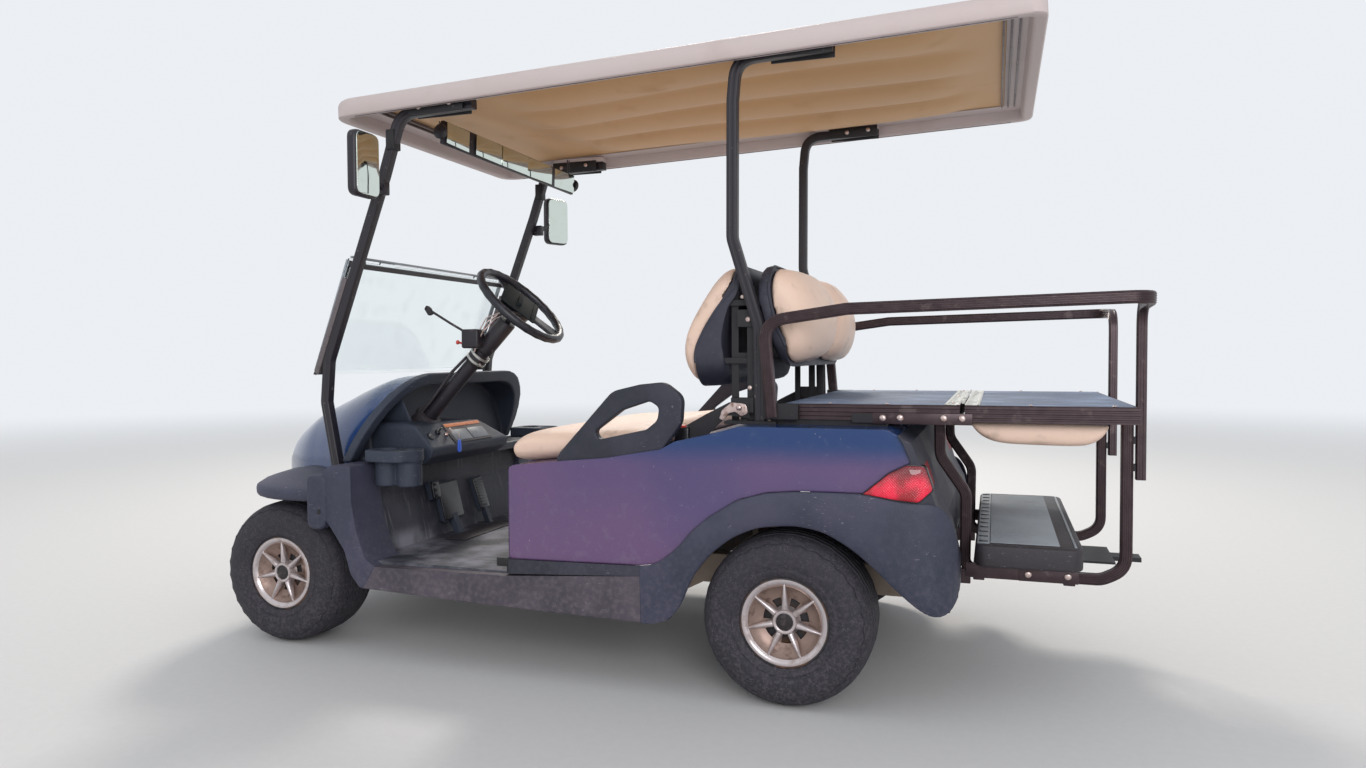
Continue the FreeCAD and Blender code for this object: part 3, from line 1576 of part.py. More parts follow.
def kit_brackets():
    """Back frame between the shells, stand-offs of the handrails and feet of the deck."""
    pieces = []
    for _, side in SIDES:
        pieces += [side_box(side, *numbers, name) for name, numbers in BRACKETS.items()]
    for z in (900, 1060):
        pieces.append(box(at(70), -440, z, 140, 880, 16, "BackBar"))
    frame = cut(fuse(pieces), back_shells + rear_struts, "BackFrame")
    others = []
    for side, rail, tube in ((1, handrails[0], kit_tubes[0]), (-1, handrails[1], kit_tubes[1])):
        plate = side_box(side, -20, s.deck_half, deck_low, 92, 20, s.deck_thick, "RailFoot")
        others.append(cut(plate, [rail], "RailFoot"))
        others.append(side_box(side, -220, s.deck_half, deck_low - 6, 60, 5, 24, "SideBolt"))
        for z in (620, 690):
            spacer = box(
                post_x, s.post_offset * side - spacer_size / 2, z, frame_post_x - post_x,
                spacer_size, spacer_size, "Spacer"
            )
            others.append(cut(spacer, [rail, tube], "Spacer"))
        others.append(side_box(side, -40, 350, arm_top, 50, 60, deck_low - arm_top, "DeckFoot"))
    keep(group([frame] + others), "kit_brackets")


kit_frame()
decks()
handrails = [handrail(side) for _, side in SIDES]
keep(group(handrails), "handrails")
footrest()
kit_brackets()

cushion_top = deck_low - s.soft_gap
CUSHION = [
    (-446, cushion_top), (-480, 704, 40), (-528, 690, 60), (-745, 686, 60), (-778, 705, 30),
    (-790, cushion_top)
]
keep(side_plate(from_axle(CUSHION), 904, 0, "DeckCushion"), "deck_cushion")


# Belt straps: each lies from its anchor on the back frame down to the top of the body

def belt_straps():
    outline = from_axle([
        (120, 752), (120, 792), (176, 794), (243, 760, 20), (322, 716), (318, 660), (236, 704, 10),
        (180, 757), (172, 757)
    ])
    straps = []
    for _, side in SIDES:
        straps.append(cut(side_plate(outline, 5, 474.5 * side, "Strap"), [body_form], "Strap"))
    keep(group(straps), "belt_straps")


belt_straps()


# Drawbar low at the rear, under the cross bars of the kit

hole_radius = Size(9)
bar_thick = Size(12)
bar_z = bar_low - bar_thick
bar = box(at(-912), -30, bar_z, 450, 60, bar_thick, "Drawbar")
plate = box(at(-836), -110, bar_z + 6, 96, 220, 6, "LowPlate")
pin_hole = rod(at(-872), 0, bar_z - 10, hole_radius, 32, "Z", "PinHole")
keep(cut(fuse([bar, plate]), [pin_hole], "Drawbar"), "drawbar")


# Check and export

doc.recompute()
os.makedirs("parts", exist_ok=True)
for feature in doc.Objects:
    if "Invalid" in feature.State or "Error" in feature.State:
        raise SystemExit(f"{feature.Label} failed: {feature.State}")
for feature in kept:
    if feature.Shape.isNull() or not feature.Shape.isValid():
        raise SystemExit(f"{feature.Label} has no valid shape")
for feature in kept:
    feature.Shape.exportStep(f"parts/{feature.Label}.step")
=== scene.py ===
# %% [markdown]
# # A golf cart, dressed for its portrait
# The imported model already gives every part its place. This lesson gives the
# parts their looks: the moulded hood, ribbed tyres, silver wheel covers, stuffed
# seats, grooved tubes, and finishes that are worn as on the real cart.
# All sizes are metres in Blender. The tables below are in millimetres from the
# rear axle, as a maker would measure them, and `spot` turns them into metres.

import math

import bmesh
import bpy
from mathutils import Matrix, Vector


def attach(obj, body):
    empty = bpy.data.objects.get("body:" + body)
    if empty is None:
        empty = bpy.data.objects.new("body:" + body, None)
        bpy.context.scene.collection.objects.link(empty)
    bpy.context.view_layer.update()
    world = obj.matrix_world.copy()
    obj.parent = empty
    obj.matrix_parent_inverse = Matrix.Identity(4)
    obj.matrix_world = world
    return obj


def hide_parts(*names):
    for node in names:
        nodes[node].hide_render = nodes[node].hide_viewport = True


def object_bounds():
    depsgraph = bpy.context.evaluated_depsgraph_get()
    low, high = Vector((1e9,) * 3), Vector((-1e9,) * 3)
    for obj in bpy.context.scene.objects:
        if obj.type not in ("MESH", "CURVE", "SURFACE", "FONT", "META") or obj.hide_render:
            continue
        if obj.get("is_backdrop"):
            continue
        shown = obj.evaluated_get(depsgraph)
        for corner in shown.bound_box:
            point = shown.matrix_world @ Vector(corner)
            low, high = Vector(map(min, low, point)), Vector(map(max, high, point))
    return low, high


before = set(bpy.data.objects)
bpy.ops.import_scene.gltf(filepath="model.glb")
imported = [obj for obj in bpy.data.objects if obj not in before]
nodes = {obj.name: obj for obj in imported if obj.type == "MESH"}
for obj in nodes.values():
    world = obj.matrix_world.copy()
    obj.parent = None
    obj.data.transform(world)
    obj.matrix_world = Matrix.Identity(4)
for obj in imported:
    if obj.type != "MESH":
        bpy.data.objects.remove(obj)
cad_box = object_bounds()
REAR_AXLE = -0.520
print("CAD box:", [tuple(round(v, 3) for v in corner) for corner in cad_box])


def spot(x, y, z):
    """A place in metres, from millimetres with x measured from the rear axle."""
    return Vector((x / 1000 + REAR_AXLE, y / 1000, z / 1000))


# %% [markdown]
# ## The camera and the studio
# The camera stands where the photographer stood, just above hip height and
# close to the rear wheel. Its direction is given by yaw, pitch and a slight roll.

# %% Camera
EYE = Vector((-1.0347, 2.8997, 0.9239))
YAW, PITCH, ROLL = 0.32774, -0.03141, -0.00544
LENS = 24.18


def look():
    """The camera's turn as a matrix: right, up and back as its columns."""
    ahead = Vector((math.sin(YAW) * math.cos(PITCH), -math.cos(YAW) * math.cos(PITCH), math.sin(PITCH)))
    right = ahead.cross(Vector((0, 0, 1))).normalized()
    up = right.cross(ahead)
    tilted_right = right * math.cos(ROLL) + up * math.sin(ROLL)
    tilted_up = up * math.cos(ROLL) - right * math.sin(ROLL)
    return Matrix((tilted_right, tilted_up, -ahead)).transposed().to_4x4()


bpy.ops.object.camera_add()
camera = bpy.context.object
camera.data.lens = LENS
camera.data.sensor_width = 36
camera.matrix_world = Matrix.Translation(EYE) @ look()
bpy.context.scene.camera = camera

# %% [markdown]
# The studio is a pale floor and an open pale sky. One broad lamp stands for the
# sun, high behind the cart's right side as in the photograph, and a soft one
# fills the near side so that dark plastic keeps its form.

# %% Studio
bpy.context.scene.view_settings.view_transform = "Standard"


def lamp(name, place, aim, size, watts, colour):
    """A soft square lamp that looks at a point."""
    bpy.ops.object.light_add(type="AREA", location=place)
    light = bpy.context.object
    light.name = name
    light.data.energy = watts
    light.data.size = size
    light.data.color = colour
    light.rotation_euler = (Vector(aim) - Vector(place)).to_track_quat("-Z", "Y").to_euler()


lamp("sun_side", (1.5, -5.0, 5.5), (0.0, 0.0, 0.6), 1.6, 330, (1.0, 0.94, 0.86))
lamp("near_fill", (-3.0, 6.0, 2.6), (0.0, 0.0, 0.7), 3.0, 170, (0.98, 0.97, 1.0))

world = bpy.data.worlds.new("studio")
bpy.context.scene.world = world
world.use_nodes = True
SKY_COLOUR, SKY_STRENGTH = (0.93, 0.96, 1.0, 1), 0.90
world.node_tree.nodes["Background"].inputs["Color"].default_value = SKY_COLOUR
world.node_tree.nodes["Background"].inputs["Strength"].default_value = SKY_STRENGTH

# %% [markdown]
# ## Finishes
# A finish here is a short recipe. `Value` lets its maths be written as plain
# sums, and `Recipe.node` makes any node from its kind, settings and inputs.
# Patterns read Object coordinates, which every piece shares, so dust and fading
# run on from one piece to the next as they do on the real cart.

# %% A class for shader maths
class Value:
    """A number or colour inside a recipe. A sum on it adds a Math node."""

    def __init__(self, recipe, socket):
        self.recipe = recipe
        self.socket = socket

    def math(self, operation, first, second):
        return self.recipe.node("Math", {"operation": operation}, {0: first, 1: second})

    def __add__(self, other):
        return self.math("ADD", self, other)

    def __sub__(self, other):
        return self.math("SUBTRACT", self, other)

    def __rsub__(self, other):
        return self.math("SUBTRACT", other, self)

    def __mul__(self, other):
        return self.math("MULTIPLY", self, other)

    __radd__ = __add__
    __rmul__ = __mul__

    def most(self, other):
        return self.math("MAXIMUM", self, other)

    def wave(self):
        return self.recipe.node("Math", {"operation": "SINE"}, {0: self})

    def step(self, low, high):
        """Rises smoothly from 0 at low to 1 at high."""
        given = {"Value": self, "From Min": low, "From Max": high}
        return self.recipe.node("MapRange", {"interpolation_type": "SMOOTHSTEP"}, given)


# %% A class for finishes
def rgb(red, green, blue):
    """A colour as the eye reads it, 0 to 255, as the shader's linear numbers."""
    def linear(part):
        part /= 255
        return part / 12.92 if part <= 0.04045 else ((part + 0.055) / 1.055) ** 2.4
    return (linear(red), linear(green), linear(blue), 1.0)


class Recipe:
    """A finish in the making."""

    def __init__(self, name, **fixed):
        self.material = bpy.data.materials.new(name)
        self.material.use_nodes = True
        self.tree = self.material.node_tree
        self.shader = self.tree.nodes["Principled BSDF"]
        for socket, value in fixed.items():
            self.shader.inputs[socket.replace("_", " ")].default_value = value
        self.coords = self.node("TexCoord", output="Object")
        self.across = self.node("SeparateXYZ", {}, {0: self.coords}, "X")
        self.side = Value(self, self.across.socket.node.outputs["Y"])
        self.height = Value(self, self.across.socket.node.outputs["Z"])

    def node(self, kind, settings=None, inputs=None, output=0):
        made = self.tree.nodes.new("ShaderNode" + kind)
        for setting, value in (settings or {}).items():
            setattr(made, setting, value)
        for key, value in (inputs or {}).items():
            self.feed(made.inputs[key], value)
        return Value(self, made.outputs[output])

    def feed(self, socket, value):
        if isinstance(value, Value):
            self.tree.links.new(value.socket, socket)
        else:
            socket.default_value = value

    def noise(self, scale, detail=3.0, stretch=None):
        coords = self.coords
        if stretch:
            coords = self.node("Mapping", {}, {"Vector": coords, "Scale": stretch})
        return self.node("TexNoise", {}, {"Vector": coords, "Scale": scale, "Detail": detail})

    def cells(self, scale):
        return self.node("TexVoronoi", {}, {"Vector": self.coords, "Scale": scale}, "Distance")

    def blend(self, amount, first, second):
        return self.node("Mix", {"data_type": "RGBA"}, {0: amount, 6: first, 7: second}, 2)

    def finish(self, colour=None, roughness=None, metallic=None, relief=None, depth=0.001, edge=0.0):
        """Connects what changes over the surface. edge softens hard corners to the eye."""
        for socket, value in (("Base Color", colour), ("Roughness", roughness), ("Metallic", metallic)):
            if value is not None:
                self.feed(self.shader.inputs[socket], value)
        normal = self.node("Bevel", {"samples": 4}, {"Radius": edge}) if edge else None
        if relief is not None:
            given = {"Height": relief, "Distance": depth}
            if normal:
                given["Normal"] = normal
            normal = self.node("Bump", {}, given)
        if normal:
            self.feed(self.shader.inputs["Normal"], normal)
        return self.material


# %% [markdown]
# ### Painted body
# The hood and the rear body are one glossy navy plastic under clear lacquer. On
# the lower rear flanks a purple sheen is painted into the colour, and road dust
# dulls the lower part.

# %% Body paint
def body_paint():
    paint = Recipe("navy_paint", Coat_Weight=0.6, Coat_Roughness=0.04, Specular_IOR_Level=0.3)
    drift = paint.noise(1.6, 2)
    low = 1 - paint.height.step(0.36, 0.60)
    dust = paint.noise(34, 8).step(0.50, 0.78) * (0.12 + 0.45 * low)
    specks = paint.cells(60).step(0.10, 0.02) * paint.noise(12, 2).step(0.55, 0.66)
    blue = rgb(26, 56, 104)
    purple = rgb(108, 76, 112)
    # painted sheen: a purple tint on the lower flanks of the rear body
    sides = paint.height.step(0.70, 0.62) * paint.across.step(0.66, 0.40)
    flank_sheen = sides * (0.35 + drift.step(0.2, 0.7) * 0.5)
    colour = paint.blend(flank_sheen, blue, purple)
    colour = paint.blend(dust * 0.45, colour, rgb(120, 116, 130))
    colour = paint.blend(specks, colour, rgb(190, 190, 196))
    return paint.finish(colour, 0.24 + dust * 0.4, None, paint.noise(150, 2), 0.0004, edge=0.006)


# %% [markdown]
# ### Dark moulded plastic
# The fenders, skirts and trim are grained black plastic that the sun has faded
# to a bluish grey. Long thin scratches show paler, and dust settles low down.

# %% Faded plastic
def faded_plastic(name, fresh, faded, dusty, edge=0.005, dust_top=0.55):
    plastic = Recipe(name, Specular_IOR_Level=0.4)
    grain = plastic.noise(420, 2)
    fade = plastic.noise(4.5, 5).step(0.32, 0.70)
    low = plastic.height.step(dust_top, 0.15)
    dust = plastic.noise(70, 8).step(0.38, 0.80) * (0.10 + low * 0.32)
    scratch = plastic.noise(12, 3, (6, 3, 20)).step(0.67, 0.70) * plastic.noise(5, 2).step(0.52, 0.6)
    specks = plastic.cells(75).step(0.09, 0.03) * plastic.noise(17, 2).step(0.56, 0.64)
    colour = plastic.blend(fade, fresh, faded)
    colour = plastic.blend(dust, colour, dusty)
    colour = plastic.blend((scratch * 0.6).most(specks) * 0.6, colour, rgb(150, 146, 152))
    return plastic.finish(colour, 0.46 + fade * 0.18 + dust * 0.15, None, grain, 0.0008, edge=edge)


# %% [markdown]
# ### Steel, aluminium and castings
# The struts are black steel with a satin coat that has chips at its edges. The
# frame below is tan paint with rust on it.

# %% Metal finishes
def coated_steel(name, colour_now, chipped, roughness=0.34):
    steel = Recipe(name, Specular_IOR_Level=0.5)
    wear = steel.noise(60, 6).step(0.66, 0.74)
    haze = steel.noise(9, 4)
    colour = steel.blend(wear * 0.7, colour_now, chipped)
    return steel.finish(colour, roughness + haze * 0.2, None, haze, 0.0005, edge=0.0015)


def bronze_tube():
    tube = Recipe("bronze_tube", Specular_IOR_Level=0.6)
    brushed = tube.noise(40, 4)
    wear = tube.noise(26, 6).step(0.60, 0.72)
    colour = tube.blend(brushed, rgb(50, 38, 42), rgb(78, 62, 64))
    colour = tube.blend(wear * 0.35, colour, rgb(130, 116, 116))
    return tube.finish(colour, 0.3 + brushed * 0.15, 0.55 + wear * 0.2, brushed, 0.0003)


def frame_paint():
    paint = Recipe("frame_paint", Metallic=0.2)
    rust = paint.noise(18, 6).step(0.54, 0.70)
    colour = paint.blend(rust, rgb(150, 134, 120), rgb(104, 66, 44))
    return paint.finish(colour, 0.5 + rust * 0.3, None, paint.noise(80, 4), 0.0008, edge=0.003)


def cast_metal():
    metal = Recipe("cast_metal")
    rust = metal.noise(25, 6).step(0.45, 0.7)
    colour = metal.blend(rust, rgb(58, 56, 58), rgb(98, 70, 52))
    return metal.finish(colour, 0.65 + rust * 0.2, 0.4 - rust * 0.3, metal.noise(160, 4), 0.001, edge=0.002)


# %% [markdown]
# ### Wheels
# The covers are silver lacquer over plastic with patches of grime, and the recessed
# bowl of each is a darker, browner silver. The tyre is black rubber that has taken
# grey dust on its shoulder, where it meets the road.

# %% Wheel finishes
def silver_cover():
    silver = Recipe("silver_cover", Coat_Weight=0.3, Coat_Roughness=0.2)
    grime = silver.noise(30, 6).step(0.46, 0.72)
    colour = silver.blend(grime * 0.6, rgb(200, 190, 190), rgb(122, 98, 88))
    return silver.finish(colour, 0.28 + grime * 0.35, 0.75 - grime * 0.4, silver.noise(300, 2), 0.0003)


def tyre_rubber():
    rubber = Recipe("tyre_rubber", Specular_IOR_Level=0.35)
    fine = rubber.noise(260, 4)
    patchy = rubber.noise(120, 8).step(0.40, 0.70)
    specks = rubber.cells(210).step(0.32, 0.08) * rubber.noise(40, 4).step(0.46, 0.62)
    low = rubber.height.step(0.50, 0.02)
    colour = rubber.blend(patchy * (0.22 + low * 0.2), rgb(46, 44, 50), rgb(96, 90, 96))
    colour = rubber.blend(specks * 0.42, colour, rgb(138, 136, 144))
    return rubber.finish(colour, 0.66 + patchy * 0.2, None, fine + specks * 0.5, 0.0012)


# %% [markdown]
# ### Vinyl, roof and rubber
# Seat vinyl has a fine leather grain, soft stains and a slight shine. The roof is
# one pale moulded sheet; its underside takes a darker, warmer copy of the finish,
# which is painted shade. Mats are faded rubber with a fine pebble.

# %% Soft and moulded finishes
def seat_vinyl():
    vinyl = Recipe("tan_vinyl", Specular_IOR_Level=0.45)
    grain = vinyl.cells(520)
    stain = vinyl.noise(6, 6).step(0.50, 0.78)
    smudge = vinyl.noise(24, 6).step(0.56, 0.75)
    colour = vinyl.blend(stain * 0.55, rgb(232, 202, 182), rgb(206, 172, 148))
    colour = vinyl.blend(smudge * 0.35, colour, rgb(150, 132, 118))
    return vinyl.finish(colour, 0.40 + stain * 0.15, None, grain, 0.0007)


def roof_plastic(name, light, warm, stained):
    roof = Recipe(name)
    cloud = roof.noise(2.2, 3)
    stain = roof.noise(7, 7).step(0.56, 0.80)
    colour = roof.blend(cloud, light, warm)
    colour = roof.blend(stain * 0.22, colour, stained)
    return roof.finish(colour, 0.55 + stain * 0.2, None, roof.noise(240, 3), 0.0004)


def mat_rubber(name, base, pale, pebble=380, clean_above=9.0):
    mat = Recipe(name, Specular_IOR_Level=0.4)
    dust = mat.noise(7, 7).step(0.40, 0.72) * (0.12 + mat.height.step(clean_above + 0.05, clean_above) * 0.88)
    scuff = mat.noise(6, 4, (1, 9, 1)).step(0.58, 0.72)
    colour = mat.blend(dust, base, pale)
    colour = mat.blend(scuff * 0.3, colour, rgb(160, 160, 166))
    return mat.finish(colour, 0.55 + dust * 0.2, None, mat.cells(pebble), 0.0012)


def webbing():
    web = Recipe("belt_webbing", Sheen_Weight=0.2)
    weave = (web.across * 2600).wave() * (web.height * 2600).wave()
    colour = web.blend(web.noise(60, 3), rgb(26, 26, 30), rgb(52, 50, 54))
    return web.finish(colour, 0.8, None, weave, 0.0005)


# %% [markdown]
# ### Lenses, glass and small coloured things
# Glass is thin here, so a see-through shader with a low tint does it. The lamp
# lens is red all through, with prisms moulded on its inside as a fine relief. Its
# faint glow is painted light, and its darker top is painted shade.

# %% Clear and bright finishes
def pane_glass():
    glass = Recipe("clear_pane", Roughness=0.03, IOR=1.2, Transmission_Weight=1.0)
    haze = glass.noise(14, 5).step(0.5, 0.8)
    colour = glass.blend(haze * 0.2, (0.96, 0.985, 0.985, 1), (0.82, 0.84, 0.86, 1))
    return glass.finish(colour, 0.03 + haze * 0.05)


def red_lens():
    lens = Recipe("red_lens", Coat_Weight=1.0, Coat_Roughness=0.03, Emission_Strength=0.22)
    ribs = (lens.across * 900).wave() * (lens.height * 900).wave()
    glow = lens.noise(18, 3).step(0.35, 0.65)
    # painted shade: the top of the lens is darkened
    upper = lens.height.step(0.600, 0.640)
    colour = lens.blend(glow, rgb(150, 4, 24), rgb(226, 14, 58))
    colour = lens.blend(upper * 0.85, colour, rgb(84, 4, 14))
    # painted light: the lens glows faintly in its own colour
    lens.feed(lens.shader.inputs["Emission Color"], colour)
    return lens.finish(colour, 0.18, None, ribs, 0.0006, edge=0.004)


def clear_lens():
    lens = Recipe("lamp_lens", Coat_Weight=1.0)
    ribs = (lens.side * 420).wave()
    colour = lens.blend(ribs, rgb(196, 200, 206), rgb(150, 156, 166))
    return lens.finish(colour, 0.12, 0.5, ribs, 0.001, edge=0.003)


def mirror_glass():
    glass = Recipe("mirror_face", Metallic=1.0)
    streak = glass.noise(30, 5).step(0.5, 0.8)
    colour = glass.blend(streak * 0.2, rgb(214, 222, 214), rgb(186, 196, 180))
    return glass.finish(colour, 0.04 + streak * 0.08)


def speckled(name, main, other, roughness, metallic=0.0, scale=70, shine=0.5):
    """A small part's finish: one colour with wear in a second."""
    plain = Recipe(name, Specular_IOR_Level=shine)
    wear = plain.noise(scale, 5).step(0.5, 0.75)
    colour = plain.blend(wear, main, other)
    shine_of_metal = metallic * (1 - wear * 0.3) if metallic else None
    return plain.finish(colour, roughness + wear * 0.15, shine_of_metal, plain.noise(scale * 4, 2), 0.0003)


# %% Make every finish once
navy = body_paint()
fender_plastic = faded_plastic("fender_plastic", rgb(44, 48, 64), rgb(66, 66, 84), rgb(100, 94, 106))
rocker_plastic = faded_plastic("rocker_plastic", rgb(62, 58, 66), rgb(84, 76, 86), rgb(122, 110, 116))
dash_plastic = faded_plastic("dash_plastic", rgb(38, 43, 54), rgb(52, 59, 73), rgb(70, 73, 84), 0.004, 0.3)
seat_plastic = faded_plastic("seat_plastic", rgb(40, 42, 52), rgb(58, 58, 70), rgb(84, 80, 88), 0.003)
step_plastic = faded_plastic("step_plastic", rgb(42, 38, 42), rgb(58, 54, 58), rgb(84, 80, 84), 0.002, 0.3)
rib_plastic = faded_plastic(
    "rib_plastic", rgb(132, 138, 144), rgb(160, 168, 174), rgb(176, 180, 184), 0.0, 0.9
)
strut_steel = coated_steel("black_steel", rgb(34, 30, 36), rgb(110, 100, 100))
bracket_steel = coated_steel("bracket_steel", rgb(24, 23, 27), rgb(90, 80, 80), 0.45)
bronze = bronze_tube()
frame_coat = frame_paint()
casting = cast_metal()
silver = silver_cover()
# a darker, browner silver for the recessed bowl of each cover
bowl_silver_dark = speckled("bowl_silver_dark", rgb(150, 128, 118), rgb(104, 82, 72), 0.42, 0.6, 40)
rubber = tyre_rubber()
vinyl = seat_vinyl()
roof_sheet = roof_plastic("roof_plastic", rgb(196, 184, 182), rgb(186, 170, 166), rgb(160, 138, 124))
# a darker, warmer copy of the roof finish for its underside: painted shade
roof_shade_copy = roof_plastic("roof_shade_copy", rgb(206, 164, 118), rgb(192, 150, 104), rgb(150, 112, 74))
deck_mat = mat_rubber("deck_mat", rgb(88, 102, 126), rgb(134, 150, 176))
floor_mat = mat_rubber("floor_mat", rgb(52, 54, 62), rgb(136, 136, 146), 260, 0.32)
strap = webbing()
glass = pane_glass()
red = red_lens()
# painted shade: a darker red for the lamp where it wraps round the rear corner
shaded_lamp_red = speckled("shaded_lamp_red", rgb(126, 8, 24), rgb(96, 6, 18), 0.5, shine=0.2)
lens = clear_lens()
mirror = mirror_glass()
bolt_metal = speckled("bolt_metal", rgb(206, 186, 180), rgb(140, 108, 98), 0.3, 0.8)
zinc = speckled("zinc_plate", rgb(196, 196, 190), rgb(140, 136, 126), 0.35, 0.85)
wheel_grip = speckled("wheel_grip", rgb(30, 31, 38), rgb(52, 54, 64), 0.38)
black_gloss = speckled("black_gloss", rgb(18, 18, 22), rgb(40, 40, 46), 0.3)
badge_black = speckled("badge_black", rgb(34, 28, 30), rgb(70, 60, 60), 0.35)
board_black = speckled("board_black", rgb(30, 34, 36), rgb(50, 56, 56), 0.75, shine=0.12)
blue_tag = speckled("blue_tag", rgb(52, 100, 214), rgb(90, 130, 226), 0.35)
red_knob = speckled("red_knob", rgb(196, 60, 48), rgb(150, 40, 36), 0.4)
channel_brown = speckled("channel_brown", rgb(104, 96, 98), rgb(82, 74, 78), 0.4, 0.3)
plate_grey = speckled("plate_grey", rgb(104, 110, 118), rgb(84, 90, 98), 0.4)
orange_strip = speckled("orange_strip", rgb(214, 130, 84), rgb(180, 104, 70), 0.5)
print("Finishes:", len(bpy.data.materials))

# %% [markdown]
# ### Dress the CAD nodes
# A node whose shape is right stays as it is and only takes a finish.

# %% Finishes of the CAD nodes
FINISHES = {
    navy: ["rear_body", "front_cowl"],
    fender_plastic: ["front_fenders", "front_bumper"],
    rocker_plastic: ["rocker_panels"],
    dash_plastic: ["dashboard", "cup_holders", "pedals"],
    # the rear skirt takes this darker plastic as painted shade on its rear wall under the deck
    seat_plastic: ["hip_restraints", "backrest_shells", "rear_skirt"],
    floor_mat: ["floor_pan"],
    strut_steel: ["front_struts", "rear_struts", "centre_mirror", "side_mirrors", "windshield_clips",
                  "steering_column"],
    bracket_steel: ["kit_brackets", "drawbar"],
    bronze: ["kit_frame", "handrails", "deck_fixed", "deck_folding"],
    step_plastic: ["footrest"],
    frame_coat: ["frame_rails"],
    casting: ["front_axle_beam", "knuckle_left", "knuckle_right", "rear_axle", "rear_leaf_springs",
              "powertrain_block"],
    silver: ["rim_front_left", "rim_front_right", "rim_rear_left", "rim_rear_right"],
    rubber: ["tyre_front_left", "tyre_front_right", "tyre_rear_left", "tyre_rear_right"],
    vinyl: ["seat_bottom", "backrest_cushions", "deck_cushion"],
    roof_sheet: ["roof"],
    strap: ["belt_straps"],
    glass: ["windshield_lower", "windshield_upper"],
    # the CAD tail lamps take the darker red of painted shade
    shaded_lamp_red: ["tail_lamps"],
    lens: ["head_lamps"],
    mirror: ["mirror_faces"],
    wheel_grip: ["steering_wheel"],
}
for material, names in FINISHES.items():
    for name in names:
        nodes[name].data.materials.clear()
        nodes[name].data.materials.append(material)
print("CAD nodes dressed:", sum(len(names) for names in FINISHES.values()), "of", len(nodes))

# %% [markdown]
# ## The maker's tools
# A few helpers stand for the moves made by hand in Blender: select one piece,
# go into edit mode, lay out a face and pull it up, soften edges, carry a
# profile along a path, and set copies in place.

# %% Selecting and editing
def only(piece):
    """Selects this piece alone and makes it the active one."""
    bpy.ops.object.select_all(action="DESELECT")
    piece.select_set(True)
    bpy.context.view_layer.objects.active = piece
    return piece


def edit(piece, mode="VERT"):
    only(piece)
    bpy.ops.object.mode_set(mode="EDIT")
    bpy.ops.mesh.select_mode(type=mode)
    bpy.ops.mesh.select_all(action="SELECT")


def leave_edit():
    bpy.ops.object.mode_set(mode="OBJECT")


def outwards(piece):
    """Merges doubles and turns every face outwards."""
    edit(piece)
    bpy.ops.mesh.remove_doubles(threshold=0.00002)
    bpy.ops.mesh.normals_make_consistent(inside=False)
    leave_edit()
    return piece


def linked(name, mesh):
    """A new piece in the scene that shows a mesh."""
    piece = bpy.data.objects.new(name, mesh)
    bpy.context.scene.collection.objects.link(piece)
    return piece


def built(name, points, faces, edges=()):
    """A new piece from its points, in metres, and the faces or edges between them."""
    mesh = bpy.data.meshes.new(name)
    mesh.from_pydata(points, edges, faces)
    return linked(name, mesh)


def without(piece, unwanted):
    """Deletes the faces that a test picks out."""
    edit(piece, "FACE")
    bpy.ops.mesh.select_all(action="DESELECT")
    leave_edit()
    for polygon in piece.data.polygons:
        polygon.select = unwanted(polygon)
    bpy.ops.object.mode_set(mode="EDIT")
    bpy.ops.mesh.delete(type="FACE")
    leave_edit()
    return piece


def modify(piece, kind, **settings):
    """Adds a modifier with its settings and applies it."""
    only(piece)
    modifier = piece.modifiers.new(kind.lower(), kind)
    for name, value in settings.items():
        setattr(modifier, name, value)
    bpy.ops.object.modifier_apply(modifier=modifier.name)
    return piece


def soften(piece, width, segments=3, angle=32):
    """Rounds the edges that are sharper than an angle."""
    limit = {"limit_method": "ANGLE", "angle_limit": math.radians(angle), "harden_normals": False}
    return modify(piece, "BEVEL", width=width / 1000, segments=segments, **limit)


def settle(piece, name, material, angle=38, replaced="", body="chassis"):
    """Names and shades a finished piece. Gives it a finish and a body, and hides the CAD node it stands for,
    if any.
    """
    only(piece)
    bpy.ops.object.transform_apply(location=True, rotation=True, scale=True)
    bpy.ops.object.shade_smooth_by_angle(angle=math.radians(angle))
    piece.name = name
    piece.data.materials.clear()
    piece.data.materials.append(material)
    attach(piece, body)
    if replaced:
        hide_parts(replaced)
    return piece


def join(pieces):
    bpy.ops.object.select_all(action="DESELECT")
    for piece in pieces:
        piece.select_set(True)
    bpy.context.view_layer.objects.active = pieces[0]
    if len(pieces) > 1:
        bpy.ops.object.join()
    return pieces[0]


# %% Outlines
def rounded(points, steps=5):
    """An outline whose corners (u, v, radius) become short arcs."""
    flat = [Vector(point[:2]) for point in points]
    corners = []
    for i, point in enumerate(points):
        here = flat[i]
        if len(point) < 3:
            corners.append(here)
            continue
        arrive = (here - flat[i - 1]).normalized()
        depart = (flat[(i + 1) % len(points)] - here).normalized()
        half_turn = arrive.angle(depart) / 2
        leg = point[2] * math.tan(half_turn)
        start, end = here - arrive * leg, here + depart * leg
        for step in range(steps + 1):
            t = step / steps
            corners.append(start * (1 - t) ** 2 + here * 2 * t * (1 - t) + end * t * t)
    return corners


PLANES = {
    "side": lambda u, v, depth: spot(u, depth, v),
    "front": lambda u, v, depth: spot(depth, u, v),
    "top": lambda u, v, depth: spot(u, v, depth),
}


def face(corners):
    """One flat face through the corners, from a circle with as many points."""
    bpy.ops.object.select_all(action="DESELECT")
    bpy.ops.mesh.primitive_circle_add(vertices=len(corners), radius=0.1, fill_type="NGON")
    piece = bpy.context.object
    for vertex, corner in zip(piece.data.vertices, corners):
        vertex.co = corner
    return piece


